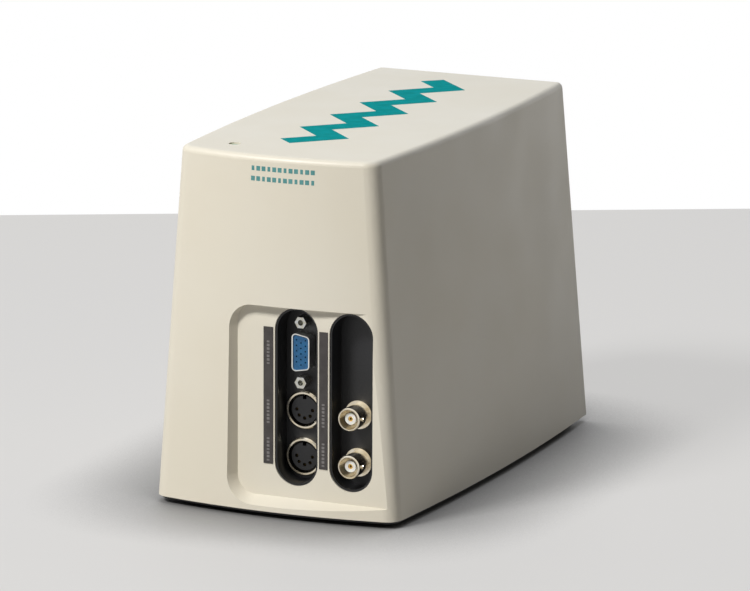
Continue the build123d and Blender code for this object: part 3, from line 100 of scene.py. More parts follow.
# Each softbox: name, place and width in metres, colour, and the setting that holds its power.
SOFTBOXES = (
    ("key_softbox", (-0.78, -1.6, 1.75), 0.5, "#FFFFFF", "key_power"),
    ("top_softbox", (0.0, 0.5, 1.5), 0.9, "#D2E3FF", "top_power"),
    ("rear_fill", (1.1, 2.5, 0.5), 1.1, "#FFF8EE", "fill_power"),
)


def linear(hex_colour):
    """An sRGB hex colour as linear RGBA."""
    found = []
    for start in (1, 3, 5):
        value = int(hex_colour[start:start + 2], 16) / 255
        found.append(value / 12.92 if value <= 0.04045 else ((value + 0.055) / 1.055) ** 2.4)
    return (*found, 1.0)


def add(tree, kind, inputs=None, **settings):
    """Adds a node, makes its settings and links or fills its inputs."""
    made = tree.nodes.new(kind)
    for name, value in settings.items():
        setattr(made, name, value)
    for name, value in (inputs or {}).items():
        if isinstance(value, bpy.types.NodeSocket):
            tree.links.new(value, made.inputs[name])
        else:
            made.inputs[name].default_value = value
    return made


def per(size_mm):
    """The texture scale that repeats a pattern about every so many millimetres."""
    return 1000 / size_mm


def surface(name, colour, roughness, metallic=0.0, ior=None, coat=0.0):
    """A new material with its shader's uniform values set, and its object coordinates."""
    material = bpy.data.materials.new(name)
    material.use_nodes = True
    tree = material.node_tree
    tree.nodes.clear()
    shader = add(tree, "ShaderNodeBsdfPrincipled")
    shader.inputs["Base Color"].default_value = linear(colour)
    shader.inputs["Roughness"].default_value = roughness
    shader.inputs["Metallic"].default_value = metallic
    shader.inputs["Coat Weight"].default_value = coat
    shader.inputs["Coat Roughness"].default_value = COAT_ROUGHNESS
    if ior is not None:
        shader.inputs["IOR"].default_value = ior
    add(tree, "ShaderNodeOutputMaterial", {"Surface": shader.outputs[0]})
    place = add(tree, "ShaderNodeTexCoord").outputs["Object"]
    return material, tree, shader, place


def tint(tree, shader, place, first, second, size_mm):
    """Lets the colour wander between two tones over patches of a size."""
    noise = add(tree, "ShaderNodeTexNoise", {"Vector": place, "Scale": per(size_mm), "Detail": 3.0})
    low, high = TONE_SPAN
    spread = add(
        tree, "ShaderNodeMapRange", {"Value": noise.outputs["Fac"], "From Min": low, "From Max": high}
    )
    mixed = add(
        tree,
        "ShaderNodeMix",
        {"Factor": spread.outputs[0], "A": linear(first), "B": linear(second)},
        data_type="RGBA",
    )
    tree.links.new(mixed.outputs["Result"], shader.inputs["Base Color"])


def gloss_change(tree, shader, place, least, most, size_mm):
    """Lets the roughness wander between two values over patches of a size."""
    noise = add(tree, "ShaderNodeTexNoise", {"Vector": place, "Scale": per(size_mm), "Detail": 2.0})
    low, high = GLOSS_SPAN
    spread = add(
        tree,
        "ShaderNodeMapRange",
        {
            "Value": noise.outputs["Fac"],
            "From Min": low,
            "From Max": high,
            "To Min": least,
            "To Max": most,
        },
    )
    tree.links.new(spread.outputs[0], shader.inputs["Roughness"])


def relief(tree, shader, height, depth_mm):
    """Raises the surface by a height signal, so many millimetres from low to high."""
    bump = add(
        tree,
        "ShaderNodeBump",
        {"Height": height, "Distance": depth_mm * MM, "Strength": 1.0},
    )
    tree.links.new(bump.outputs[0], shader.inputs["Normal"])


def grain(tree, shader, place, size_mm, depth_mm):
    """A fine even texture all over.

    What is finer than about 0.3 mm doesn't show, so plated and moulded skins are drawn coarser
    than they are.
    """
    noise = add(tree, "ShaderNodeTexNoise", {"Vector": place, "Scale": per(size_mm), "Detail": 2.0})
    relief(tree, shader, noise.outputs["Fac"], depth_mm)


def moulded_casing():
    """Moulded ABS with a spark-eroded texture: a satin skin that blurs every highlight.

    The real texture is near 0.1 mm and is drawn at 0.7 mm, so that it just shows. A broad and
    very shallow swell under it is the slight sink of a large moulded wall.
    """
    look = bpy.context.scene.potentiostat_casing
    swell_size = 45.0
    swell_share = 1.5
    material, tree, shader, place = surface(
        "moulded_abs_casing", look.colour, roughness=look.roughness, ior=1.53
    )
    tint(tree, shader, place, look.colour, look.second_colour, size_mm=60.0)
    fine = add(
        tree, "ShaderNodeTexNoise", {"Vector": place, "Scale": per(look.grain / MM), "Detail": 2.0}
    )
    broad = add(tree, "ShaderNodeTexNoise", {"Vector": place, "Scale": per(swell_size), "Detail": 1.0})
    both = add(
        tree,
        "ShaderNodeMath",
        {0: broad.outputs["Fac"], 1: swell_share, 2: fine.outputs["Fac"]},
        operation="MULTIPLY_ADD",
    )
    relief(tree, shader, both.outputs[0], look.grain_depth / MM)
    gloss_change(
        tree,
        shader,
        place,
        least=look.roughness - 0.05,
        most=look.roughness + 0.06,
        size_mm=25.0,
    )
    return material


def moulded_black():
    """Moulded black ABS, lightly textured: near black with a soft sheen on its rims.

    Its texture is drawn at 0.5 mm, coarser than it is, so that it shows.
    """
    name = "moulded_black_abs"
    if name in bpy.data.materials:
        return bpy.data.materials[name]
    material, tree, shader, place = surface(name, "#0D0D0E", roughness=0.42, ior=1.5)
    tint(tree, shader, place, "#0A0A0B", "#121214", size_mm=8.0)
    grain(tree, shader, place, size_mm=0.5, depth_mm=0.02)
    return material


def glossy_black():
    """Polished nylon: the deep gloss of a rocker that fingers have kept smooth."""
    material, tree, shader, place = surface(
        "polished_black_nylon", "#121214", roughness=0.2, ior=1.53, coat=0.3
    )
    tint(tree, shader, place, "#0E0E10", "#18181A", size_mm=6.0)
    gloss_change(tree, shader, place, least=0.16, most=0.3, size_mm=4.0)
    return material


def powder_coat():
    """Powder-coated steel: black with the fine pebble of baked powder.

    The pebble is drawn at 0.6 mm, coarser than it is, so that it shows.
    """
    material, tree, shader, place = surface("powder_coated_steel", "#121213", roughness=0.48, ior=1.5)
    tint(tree, shader, place, "#0F0F10", "#171719", size_mm=20.0)
    cells = add(
        tree, "ShaderNodeTexVoronoi", {"Vector": place, "Scale": per(0.6)}, feature="SMOOTH_F1"
    )
    relief(tree, shader, cells.outputs["Distance"], depth_mm=0.03)
    return material


def printed_film():
    """Screen-printed polyester film: flat dark grey with a faint weave from the screen.

    The screen's threads are drawn at 0.4 mm, coarser than they are, so that they show.
    """
    material, tree, shader, place = surface("screen_printed_film", "#3C3836", roughness=0.5, ior=1.45)
    tint(tree, shader, place, "#383432", "#413D3B", size_mm=3.0)
    grain(tree, shader, place, size_mm=0.4, depth_mm=0.01)
    return material


def rubber():
    """Moulded rubber: dull, slightly dusty black. Its skin is drawn at 0.4 mm, so that it shows."""
    material, tree, shader, place = surface("moulded_rubber", "#1C1C1B", roughness=0.75, ior=1.52)
    tint(tree, shader, place, "#181817", "#2A2A28", size_mm=2.5)
    grain(tree, shader, place, size_mm=0.4, depth_mm=0.03)
    return material


def extruded_aluminium():
    """Extruded aluminium: a grey metal with the fine upright streaks that its die leaves.

    The streaks are drawn 0.25 mm wide, coarser than they are, so that they show.
    """
    material, tree, shader, place = surface(
        "extruded_aluminium", "#BFC1C3", roughness=0.38, metallic=1.0
    )
    tint(tree, shader, place, "#BFC1C3", "#B2B4B7", size_mm=5.0)
    upright = add(tree, "ShaderNodeMapping", {"Vector": place, "Scale": (1.0, 1.0, STREAK_SCALE)})
    streak = add(
        tree,
        "ShaderNodeTexNoise",
        {"Vector": upright.outputs[0], "Scale": per(0.25), "Detail": 3.0},
    )
    relief(tree, shader, streak.outputs["Fac"], depth_mm=0.01)
    return material


def nickel_plate():
    """Nickel plate over turned brass: a warm mirror with the faint rings of turning.

    The rings are drawn 2.2 mm apart, much coarser than they are, so that they show.
    """
    material, tree, shader, place = surface(
        "nickel_plated_brass", "#E4DCCB", roughness=0.16, metallic=1.0
    )
    tint(tree, shader, place, "#E6DFCF", "#D6C9AE", size_mm=4.0)
    rings = add(
        tree,
        "ShaderNodeTexWave",
        {"Vector": place, "Scale": per(2.2) / WAVE_BANDS, "Distortion": 0.4},
        bands_direction="Y",
    )
    relief(tree, shader, rings.outputs["Fac"], depth_mm=0.004)
    gloss_change(tree, shader, place, least=0.12, most=0.26, size_mm=2.0)
    return material


def tin_plate():
    """Tin plate on pressed steel: bright and a little cloudy."""
    material, tree, shader, place = surface("tin_plated_steel", "#E8E8E4", roughness=0.34, metallic=1.0)
    tint(tree, shader, place, "#ECECE8", "#D8D8D4", size_mm=3.0)
    gloss_change(tree, shader, place, least=0.28, most=0.42, size_mm=1.5)
    grain(tree, shader, place, size_mm=1.2, depth_mm=0.002)
    return material


def zinc_plate():
    """Bright zinc plate: a cool steel with slight colour from its passivation."""
    material, tree, shader, place = surface("zinc_plated_steel", "#C9CBCB", roughness=0.3, metallic=1.0)
    tint(tree, shader, place, "#CDD0D2", "#BDB9A6", size_mm=2.0)
    gloss_change(tree, shader, place, least=0.24, most=0.42, size_mm=1.0)
    grain(tree, shader, place, size_mm=0.6, depth_mm=0.006)
    return material


def gold_plate():
    """Thin gold plate on contacts: warm and slightly dull."""
    material, tree, shader, place = surface(
        "gold_plated_contact", "#E8C070", roughness=0.24, metallic=1.0
    )
    tint(tree, shader, place, "#EBC678", "#D9AC5A", size_mm=1.0)
    gloss_change(tree, shader, place, least=0.18, most=0.32, size_mm=0.8)
    return material


def blue_moulding():
    """Moulded blue polyester: a saturated, slightly shiny connector block."""
    material, tree, shader, place = surface("moulded_blue_polyester", "#04507C", roughness=0.4, ior=1.57)
    tint(tree, shader, place, "#044B75", "#085A88", size_mm=2.5)
    grain(tree, shader, place, size_mm=0.35, depth_mm=0.01)
    return material


def white_moulding():
    """Moulded white PTFE: soft and a little waxy, because light sinks into it."""
    material, tree, shader, place = surface("moulded_white_ptfe", "#E9E8E2", roughness=0.4, ior=1.38)
    shader.inputs["Subsurface Weight"].default_value = 0.08
    shader.inputs["Subsurface Scale"].default_value = 0.5 * MM
    tint(tree, shader, place, "#ECEBE6", "#E0DED6", size_mm=2.0)
    return material


def circuit_board():
    """Solder-masked glass laminate: deep green gloss over a faint pattern of tracks.

    The pattern repeats every 6 mm, in cells of 3 by 1.5 mm, coarser than tracks are, so that it
    shows.
    """
    material, tree, shader, place = surface(
        "solder_masked_laminate", "#0D5A32", roughness=0.28, ior=1.5, coat=0.25
    )
    tracks = add(
        tree,
        "ShaderNodeTexBrick",
        {
            "Vector": place,
            "Color1": linear("#0C5430"),
            "Color2": linear("#0E5E35"),
            "Mortar": linear("#2C8A55"),
            "Scale": per(6.0),
            "Mortar Size": 0.06,
            "Mortar Smooth": 0.2,
        },
    )
    tree.links.new(tracks.outputs["Color"], shader.inputs["Base Color"])
    relief(tree, shader, tracks.outputs["Fac"], depth_mm=0.03)
    return material


def shrink_sleeve():
    """Heat-shrunk vinyl sleeve: glossy dark blue with the slight unevenness of shrinking."""
    material, tree, shader, place = surface(
        "heat_shrunk_vinyl", "#1C2A5C", roughness=0.22, ior=1.54, coat=0.2
    )
    tint(tree, shader, place, "#192656", "#223269", size_mm=6.0)
    grain(tree, shader, place, size_mm=1.5, depth_mm=0.02)
    return material


def relay_case():
    """Moulded polycarbonate relay case: cream, fairly glossy."""
    material, tree, shader, place = surface(
        "moulded_polycarbonate_relay", "#DAD8CE", roughness=0.28, ior=1.58
    )
    tint(tree, shader, place, "#DDDBD2", "#D0CDC2", size_mm=5.0)
    grain(tree, shader, place, size_mm=0.8, depth_mm=0.01)
    return material


def winding_tape():
    """Polyester tape wound over the transformer: glossy amber film in broad overlapping turns."""
    material, tree, shader, place = surface(
        "wound_polyester_tape", "#D2B04A", roughness=0.25, ior=1.6, coat=0.3
    )
    tint(tree, shader, place, "#D6B653", "#C09A38", size_mm=7.0)
    turns = add(
        tree,
        "ShaderNodeTexWave",
        {"Vector": place, "Scale": per(31.4) / WAVE_BANDS, "Distortion": 1.5},
        bands_direction="DIAGONAL",
    )
    relief(tree, shader, turns.outputs["Fac"], depth_mm=0.12)
    return material


def led_epoxy():
    """Cast diffused epoxy: a milky pale green lens that lets light sink in."""
    material, tree, shader, place = surface("cast_diffused_epoxy", "#C3CCB4", roughness=0.24, ior=1.5)
    shader.inputs["Subsurface Weight"].default_value = 0.3
    shader.inputs["Subsurface Scale"].default_value = 1.0 * MM
    tint(tree, shader, place, "#C8D1BA", "#B4BFA4", size_mm=1.5)
    return material


def clear_glass():
    """Drawn glass tube: clear, with only its edges showing."""
    material, tree, shader, place = surface("drawn_glass", "#F4F8F6", roughness=0.03, ior=1.5)
    shader.inputs["Transmission Weight"].default_value = 1.0
    gloss_change(tree, shader, place, least=0.02, most=0.06, size_mm=3.0)
    return material


def print_ink():
    """Screen-printed teal ink: a thin, even and very matt coat.

    Its IOR is far below a resin's, because the real ink gives back almost none of the white
    behind it where it is seen at a low angle.
    """
    look = bpy.context.scene.potentiostat_print
    material, tree, shader, place = surface(
        "screen_printed_teal_ink", look.colour, roughness=0.85, ior=1.12
    )
    tint(tree, shader, place, look.colour, look.second_colour, size_mm=5.0)
    grain(tree, shader, place, size_mm=0.5, depth_mm=0.01)
    return material


def small_print_ink():
    """Screen-printed teal ink in small marks, where the cover shows through a little."""
    look = bpy.context.scene.potentiostat_print
    material, tree, shader, place = surface(
        "screen_printed_thin_teal_ink", look.dash_colour, roughness=0.42, ior=1.5
    )
    tint(tree, shader, place, look.dash_colour, "#5B9492", size_mm=2.0)
    grain(tree, shader, place, size_mm=0.5, depth_mm=0.01)
    return material


def pale_ink():
    """Screen-printed grey ink on the legend film: a little lighter than the film and satin."""
    material, tree, shader, place = surface(
        "screen_printed_grey_ink", "#74706E", roughness=0.45, ior=1.5
    )
    tint(tree, shader, place, "#706C6A", "#7A7674", size_mm=1.5)
    return material


def satin_laminate(look):
    """Satin laminate of the table top, lit plainly where it is seen, with a soft contact shadow."""
    material, tree, shader, place = surface("satin_laminate", look.floor_colour, roughness=0.5, ior=1.45)
    tint(tree, shader, place, look.floor_colour, "#AEADAC", size_mm=300.0)
    grain(tree, shader, place, size_mm=2.0, depth_mm=0.01)
    shown = seen_directly(tree)
    share = add(tree, "ShaderNodeMath", {0: shown, 1: look.floor_lift}, operation="MULTIPLY")
    near = add(
        tree, "ShaderNodeAmbientOcclusion", {"Distance": look.contact}, samples=CONTACT_SAMPLES
    )
    contact = add(
        tree, "ShaderNodeMath", {0: near.outputs["AO"], 1: CONTACT_STEEPNESS}, operation="POWER"
    )
    plain = add(
        tree, "ShaderNodeEmission", {"Color": linear(look.floor_glow), "Strength": contact.outputs[0]}
    )
    mixed = add(
        tree,
        "ShaderNodeMixShader",
        {"Fac": share.outputs[0], 1: shader.outputs[0], 2: plain.outputs[0]},
    )
    tree.links.new(mixed.outputs[0], tree.nodes["Material Output"].inputs["Surface"])
    return material


def seen_directly(tree):
    """One for camera, mirror and glass rays, and nought for the rays that light the object."""
    path = add(tree, "ShaderNodeLightPath")
    seen = add(
        tree,
        "ShaderNodeMath",
        {0: path.outputs["Is Camera Ray"], 1: path.outputs["Is Transmission Ray"]},
        operation="MAXIMUM",
    )
    with_mirrors = add(
        tree,
        "ShaderNodeMath",
        {0: seen.outputs[0], 1: path.outputs["Is Glossy Ray"]},
        operation="MAXIMUM",
    )
    return with_mirrors.outputs[0]


def dress(names, material):
    """Gives CAD nodes a material in all their slots."""
    for name in names:
        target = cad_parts[name]
        if not target.material_slots:
            target.data.materials.append(material)
        for slot in target.material_slots:
            slot.material = material


def mesh_piece(name, verts, faces, material, body):
    """Makes a flat-faced mesh piece, gives it its material and lets it ride on a body."""
    mesh = bpy.data.meshes.new(name)
    mesh.from_pydata([tuple(v) for v in verts], [], faces)
    work = bmesh.new()
    work.from_mesh(mesh)
    bmesh.ops.recalc_face_normals(work, faces=work.faces)
    work.to_mesh(mesh)
    work.free()
    for face in mesh.polygons:
        face.use_smooth = False
    mesh.materials.append(material)
    piece = bpy.data.objects.new(name, mesh)
    bpy.context.scene.collection.objects.link(piece)
    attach(piece, body)


def joined(parts):
    """Several lists of vertices and faces as one."""
    verts = []
    faces = []
    for some_verts, some_faces in parts:
        first = len(verts)
        verts += some_verts
        faces += [tuple(first + i for i in face) for face in some_faces]
    return verts, faces


def slab(x0, x1, y0, y1, z0, z1):
    """A closed box from its two corners."""
    verts = [(x, y, z) for x in (x0, x1) for y in (y0, y1) for z in (z0, z1)]
    faces = [(0, 1, 3, 2), (4, 6, 7, 5), (0, 4, 5, 1), (2, 3, 7, 6), (0, 2, 6, 4), (1, 5, 7, 3)]
    return verts, faces


def ribbon_prism(points, width, low, high):
    """A closed ribbon of even width along a line of 2-D points, from one height to another."""
    count = len(points)
    sides = []
    for i, here in enumerate(points):
        before = points[max(i - 1, 0)]
        after = points[min(i + 1, count - 1)]
        into = (here - before).normalized() if i else (after - here).normalized()
        out = (after - here).normalized() if i < count - 1 else into
        bisector = into + out
        bisector.normalize()
        normal = Vector((-bisector.y, bisector.x))
        reach = width / 2 / max(normal.dot(Vector((-into.y, into.x))), MITRE_LIMIT)
        sides.append((here + normal * reach, here - normal * reach))
    verts = []
    for height in (low, high):
        for left, right in sides:
            verts.append((left.x, left.y, height))
            verts.append((right.x, right.y, height))
    top = 2 * count
    faces = []
    for i in range(count - 1):
        a, b, c, d = 2 * i, 2 * i + 1, 2 * i + 3, 2 * i + 2
        faces.append((a, b, c, d))
        faces.append((top + a, top + b, top + c, top + d))
        faces.append((a, d, top + d, top + a))
        faces.append((b, c, top + c, top + b))
    end = 2 * count - 2
    faces.append((0, 1, top + 1, top))
    faces.append((end, end + 1, top + end + 1, top + end))
    return verts, faces


def cover_skin():
    """The cover's surface, for laying print on it."""
    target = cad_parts["cover"]
    verts = [target.matrix_world @ v.co for v in target.data.vertices]
    return BVHTree.FromPolygons(verts, [tuple(p.vertices) for p in target.data.polygons])


def laid_patch(skin, centre_x, centre_z, width, height, proud):
    """A thin closed patch that follows the cover's front: its back lies just inside the skin."""
    near = []
    far = []
    for j in range(2):
        z = centre_z + (j - 0.5) * height
        for i in range(PATCH_STEPS + 1):
            x = centre_x + (i / PATCH_STEPS - 0.5) * width
            start = Vector((x, COVER_LOW[1] - SKIN_SEARCH, z))
            hit = skin.ray_cast(start, Vector((0, 1, 0)))[0]
            if hit is None:
                raise RuntimeError("the print misses the front of the cover")
            near.append(hit + Vector((0, -proud, 0)))
            far.append(hit + Vector((0, proud / 2, 0)))
    row = PATCH_STEPS + 1
    back = len(near)
    faces = []
    for i in range(PATCH_STEPS):
        a, b, c, d = i, i + 1, row + i + 1, row + i
        faces.append((a, b, c, d))
        faces.append((back + a, back + b, back + c, back + d))
        faces.append((a, b, back + b, back + a))
        faces.append((d, c, back + c, back + d))
    faces.append((0, row, back + row, back))
    faces.append((row - 1, 2 * row - 1, back + 2 * row - 1, back + row - 1))
    return near + far, faces


def legend_marks(name, strip, sockets, look, ink):
    """A column of small marks on a strip, centred beside each socket and kept inside the strip."""
    low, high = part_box(strip)
    middle = (low[0] + high[0]) / 2
    left = middle - look.width / 2
    right = middle + look.width / 2
    front = low[1] - look.proud
    back = low[1] + look.proud
    marks = []
    for socket in sockets:
        socket_low, socket_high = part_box(socket)
        reach = (look.marks + 1) / 2 * look.pitch
        centre = (socket_low[2] + socket_high[2]) / 2
        centre = min(max(centre, low[2] + reach), high[2] - reach)
        for i in range(look.marks):
            z = centre + (i - (look.marks - 1) / 2) * look.pitch
            half = look.height * MARK_SHARES[i % len(MARK_SHARES)] / 2
            marks.append(slab(left, right, front, back, z - half, z + half))
    verts, faces = joined(marks)
    mesh_piece(name, verts, faces, ink, CASE)


class CasingLook(bpy.types.PropertyGroup):
    """Colour and skin of the moulded cover."""

    colour: StringProperty(name="Colour", description="Casing colour, sRGB hex", default="#DED6C3")
    second_colour: StringProperty(
        name="Second colour", description="Its slight variation, sRGB hex", default="#E0D9C8"
    )
    roughness: FloatProperty(
        name="Roughness",
        description="Roughness of the skin",
        default=0.46,
        min=0,
        max=1,
        subtype="FACTOR",
    )
    grain: FloatProperty(
        name="Grain", description="Size of the texture", default=0.7 * MM, unit="LENGTH"
    )
    grain_depth: FloatProperty(
        name="Grain depth", description="Depth of the texture", default=0.012 * MM, unit="LENGTH"
    )


class PrintLook(bpy.types.PropertyGroup):
    """Sizes and colours of the teal print."""

    colour: StringProperty(name="Colour", description="Ink colour, sRGB hex", default="#0A8A88")
    second_colour: StringProperty(
        name="Second colour", description="Its slight variation, sRGB hex", default="#109595"
    )
    motif_start: FloatProperty(
        name="Start", description="From the front to the motif", default=34 * MM, unit="LENGTH"
    )
    motif_length: FloatProperty(
        name="Length", description="Length of the motif", default=150 * MM, unit="LENGTH"
    )
    motif_width: FloatProperty(
        name="Width", description="Width of the motif", default=25 * MM, unit="LENGTH"
    )
    motif_x: FloatProperty(
        name="Place", description="Centre line of the motif", default=-1.5 * MM, unit="LENGTH"
    )
    stroke: FloatProperty(
        name="Stroke", description="Width of its line", default=10.5 * MM, unit="LENGTH"
    )
    periods: IntProperty(
        name="Periods", description="Number of sweeps", default=5, min=1, subtype="UNSIGNED"
    )
    dash_colour: StringProperty(
        name="Dash colour", description="Colour of the dashes, sRGB hex", default="#4A8785"
    )
    row_length: FloatProperty(
        name="Row", description="Length of a row of dashes", default=28.5 * MM, unit="LENGTH"
    )
    row_pitch: FloatProperty(
        name="Row pitch", description="From one row to the next", default=4.2 * MM, unit="LENGTH"
    )
    row_x: FloatProperty(
        name="Row place", description="Centre of the rows", default=5.0 * MM, unit="LENGTH"
    )
    row_drop: FloatProperty(
        name="Row drop", description="From the top to the first row", default=5.4 * MM, unit="LENGTH"
    )
    rows: IntProperty(name="Rows", description="Rows of dashes", default=2, min=1, subtype="UNSIGNED")
    dashes: IntProperty(
        name="Dashes", description="Dashes in a row", default=12, min=1, subtype="UNSIGNED"
    )
    dash_height: FloatProperty(
        name="Dash height", description="Height of a dash", default=1.9 * MM, unit="LENGTH"
    )
    proud: FloatProperty(
        name="Thickness", description="Thickness of the ink", default=0.05 * MM, unit="LENGTH"
    )


class LegendLook(bpy.types.PropertyGroup):
    """Small marks on the legend strips."""

    marks: IntProperty(
        name="Marks", description="Marks beside each socket", default=7, min=1, subtype="UNSIGNED"
    )
    pitch: FloatProperty(
        name="Pitch", description="From one mark to the next", default=1.5 * MM, unit="LENGTH"
    )
    height: FloatProperty(
        name="Height", description="Room for a mark along the strip", default=1.4 * MM, unit="LENGTH"
    )
    width: FloatProperty(
        name="Width", description="Width of a mark", default=1.2 * MM, unit="LENGTH"
    )
    proud: FloatProperty(
        name="Thickness", description="Thickness of the ink", default=0.04 * MM, unit="LENGTH"
    )


class StageLook(bpy.types.PropertyGroup):
    """Floor, lights and camera."""

    floor_colour: StringProperty(
        name="Floor", description="Floor colour, sRGB hex", default="#B2B0AD"
    )
    floor_glow: StringProperty(
        name="Floor light", description="Plain light on it, sRGB hex", default="#EDEBE8"
    )
    floor_lift: FloatProperty(
        name="Lift",
        description="Share of plain light on the floor",
        default=0.6,
        min=0,
        max=1,
        subtype="FACTOR",
    )
    contact: FloatProperty(
        name="Contact", description="Reach of the contact shadow", default=60 * MM, unit="LENGTH"
    )
    key_power: FloatProperty(
        name="Key", description="Power of the main softbox", default=60, unit="POWER"
    )
    top_power: FloatProperty(
        name="Top", description="Power of the softbox overhead", default=6, unit="POWER"
    )
    fill_power: FloatProperty(
        name="Fill", description="Power of the softbox behind", default=5, unit="POWER"
    )
    ambient: FloatProperty(
        name="Ambient",
        description="Strength of the sky on the object",
        default=0.02,
        min=0,
        max=1,
        subtype="FACTOR",
    )
    lens: FloatProperty(
        name="Lens", description="Focal length in millimetres", default=275.0, unit="CAMERA"
    )


class POTENTIOSTAT_OT_cover(bpy.types.Operator):
    """Finishes the moulded cover and its status light"""

    bl_idname = "potentiostat.cover"
    bl_label = "Cover"

    def execute(self, context):
        dress(["cover"], moulded_casing())
        dress(["status_led"], led_epoxy())
        return {"FINISHED"}


class POTENTIOSTAT_OT_print(bpy.types.Operator):
    """Lays a plain zigzag motif on the top and rows of dashes on the front"""

    bl_idname = "potentiostat.print"
    bl_label = "Print"

    def execute(self, context):
        look = context.scene.potentiostat_print
        start = COVER_LOW[1] + look.motif_start
        top = COVER_HIGH[2]
        swing = (look.motif_width - look.stroke) / 2
        steps = look.periods * 2
        points = []
        for i in range(steps + 1):
            side = 1 if i % 2 else -1
            points.append(Vector((look.motif_x + side * swing, start + look.motif_length * i / steps)))
        verts, faces = ribbon_prism(points, look.stroke, top - look.proud / 2, top + look.proud)
        mesh_piece("sweep_motif", verts, faces, print_ink(), CASE)
        skin = cover_skin()
        ink = small_print_ink()
        pitch = look.row_length / look.dashes
        for row in range(look.rows):
            z = top - look.row_drop - row * look.row_pitch
            patches = []
            for i in range(look.dashes):
                x = look.row_x + (i + 0.5) * pitch - look.row_length / 2
                width = pitch * DASH_SHARES[(i + row) % len(DASH_SHARES)]
                patches.append(laid_patch(skin, x, z, width, look.dash_height, look.proud))
            verts, faces = joined(patches)
            mesh_piece("front_dashes_%d" % (row + 1), verts, faces, ink, CASE)
        return {"FINISHED"}


class POTENTIOSTAT_OT_wells(bpy.types.Operator):
    """Finishes the wells, the panel behind them and the legend strips"""

    bl_idname = "potentiostat.wells"
    bl_label = "Wells"

    def execute(self, context):
        dress(["well_liner", "led_clip"], moulded_black())
        dress(["connector_panel", "chassis"], powder_coat())
        dress(["legend_strip_left", "legend_strip_middle"], printed_film())
        return {"FINISHED"}


class POTENTIOSTAT_OT_legends(bpy.types.Operator):
    """Prints plain marks beside the sockets on the legend strips"""

    bl_idname = "potentiostat.legends"
    bl_label = "Legends"

    def execute(self, context):
        look = context.scene.potentiostat_legend
        ink = pale_ink()
        beside_left = ("control_socket_shell", "cell_socket_shell_upper", "cell_socket_shell_lower")
        legend_marks("legend_marks_left", "legend_strip_left", beside_left, look, ink)
        beside_right = ("bnc_body_upper", "bnc_body_lower")
        legend_marks("legend_marks_middle", "legend_strip_middle", beside_right, look, ink)
        return {"FINISHED"}


class POTENTIOSTAT_OT_sockets(bpy.types.Operator):
    """Finishes the sockets and the other tinned, nickelled and gilt parts"""

    bl_idname = "potentiostat.sockets"
    bl_label = "Sockets"

    def execute(self, context):
        nickel = nickel_plate()
        gold = gold_plate()
        white = white_moulding()
        black = moulded_black()
        dress(["control_socket_shell", "usb_shell", "screening_can"], tin_plate())
        dress(["control_socket_insulator"], blue_moulding())
        dress(["control_socket_contacts"], gold)
        for which in ("upper", "lower"):
            dress(["cell_socket_shell_" + which, "bnc_body_" + which], nickel)
            dress(["cell_socket_contacts_" + which, "bnc_contact_" + which], gold)
            dress(["cell_socket_insert_" + which], black)
            dress(["bnc_dielectric_" + which], white)
        dress(["usb_insert"], white)
        dress(["bnc_nuts", "earth_tube", "standoffs"], nickel)
        dress(["inlet_blades", "fuse_caps", "switch_terminals"], nickel)
        return {"FINISHED"}


class POTENTIOSTAT_OT_fixings(bpy.types.Operator):
    """Finishes the screws and nuts, the transformer's clamp and pads, and the feet"""

    bl_idname = "potentiostat.fixings"
    bl_label = "Fixings"

    def execute(self, context):
        zinc = zinc_plate()
        dress(["cover_screws", "panel_screws", "board_screws", "jackscrews"], zinc)
        dress(["inlet_screws", "inlet_nuts"], zinc)
        dress(["transformer_dish", "transformer_bolt", "transformer_nut"], zinc)
        dress(["rubber_feet", "transformer_pads"], rubber())
        return {"FINISHED"}


class POTENTIOSTAT_OT_electronics(bpy.types.Operator):
    """Finishes the boards, their parts and the transformer"""

    bl_idname = "potentiostat.electronics"
    bl_label = "Electronics"

    def execute(self, context):
        dress(["front_board", "main_board"], circuit_board())
        dress(["reservoir_capacitors"], shrink_sleeve())
        dress(["range_relays"], relay_case())
        dress(["converter_chips", "board_header", "output_transistors"], moulded_black())
        dress(["heat_sink"], extruded_aluminium())
        dress(["ring_transformer"], winding_tape())
        return {"FINISHED"}


class POTENTIOSTAT_OT_rear(bpy.types.Operator):
    """Finishes the inlet, fuse drawer, switch and earth socket"""

    bl_idname = "potentiostat.rear"
    bl_label = "Rear"

    def execute(self, context):
        dress(["inlet_body", "fuse_drawer", "switch_frame", "earth_sleeve", "earth_nut"], moulded_black())
        dress(["power_rocker"], glossy_black())
        dress(["fuse_glass"], clear_glass())
        return {"FINISHED"}


class POTENTIOSTAT_OT_stage(bpy.types.Operator):
    """Lays the floor and sets the lights and the camera"""

    bl_idname = "potentiostat.stage"
    bl_label = "Stage"

    def execute(self, context):
        look = context.scene.potentiostat_stage
        make_floor(look)
        make_world(look)
        for name, place, width, colour, power in SOFTBOXES:
            make_softbox(name, place, width, colour, getattr(look, power))
        make_camera(look)
        context.scene.view_settings.view_transform = "Standard"
        return {"FINISHED"}


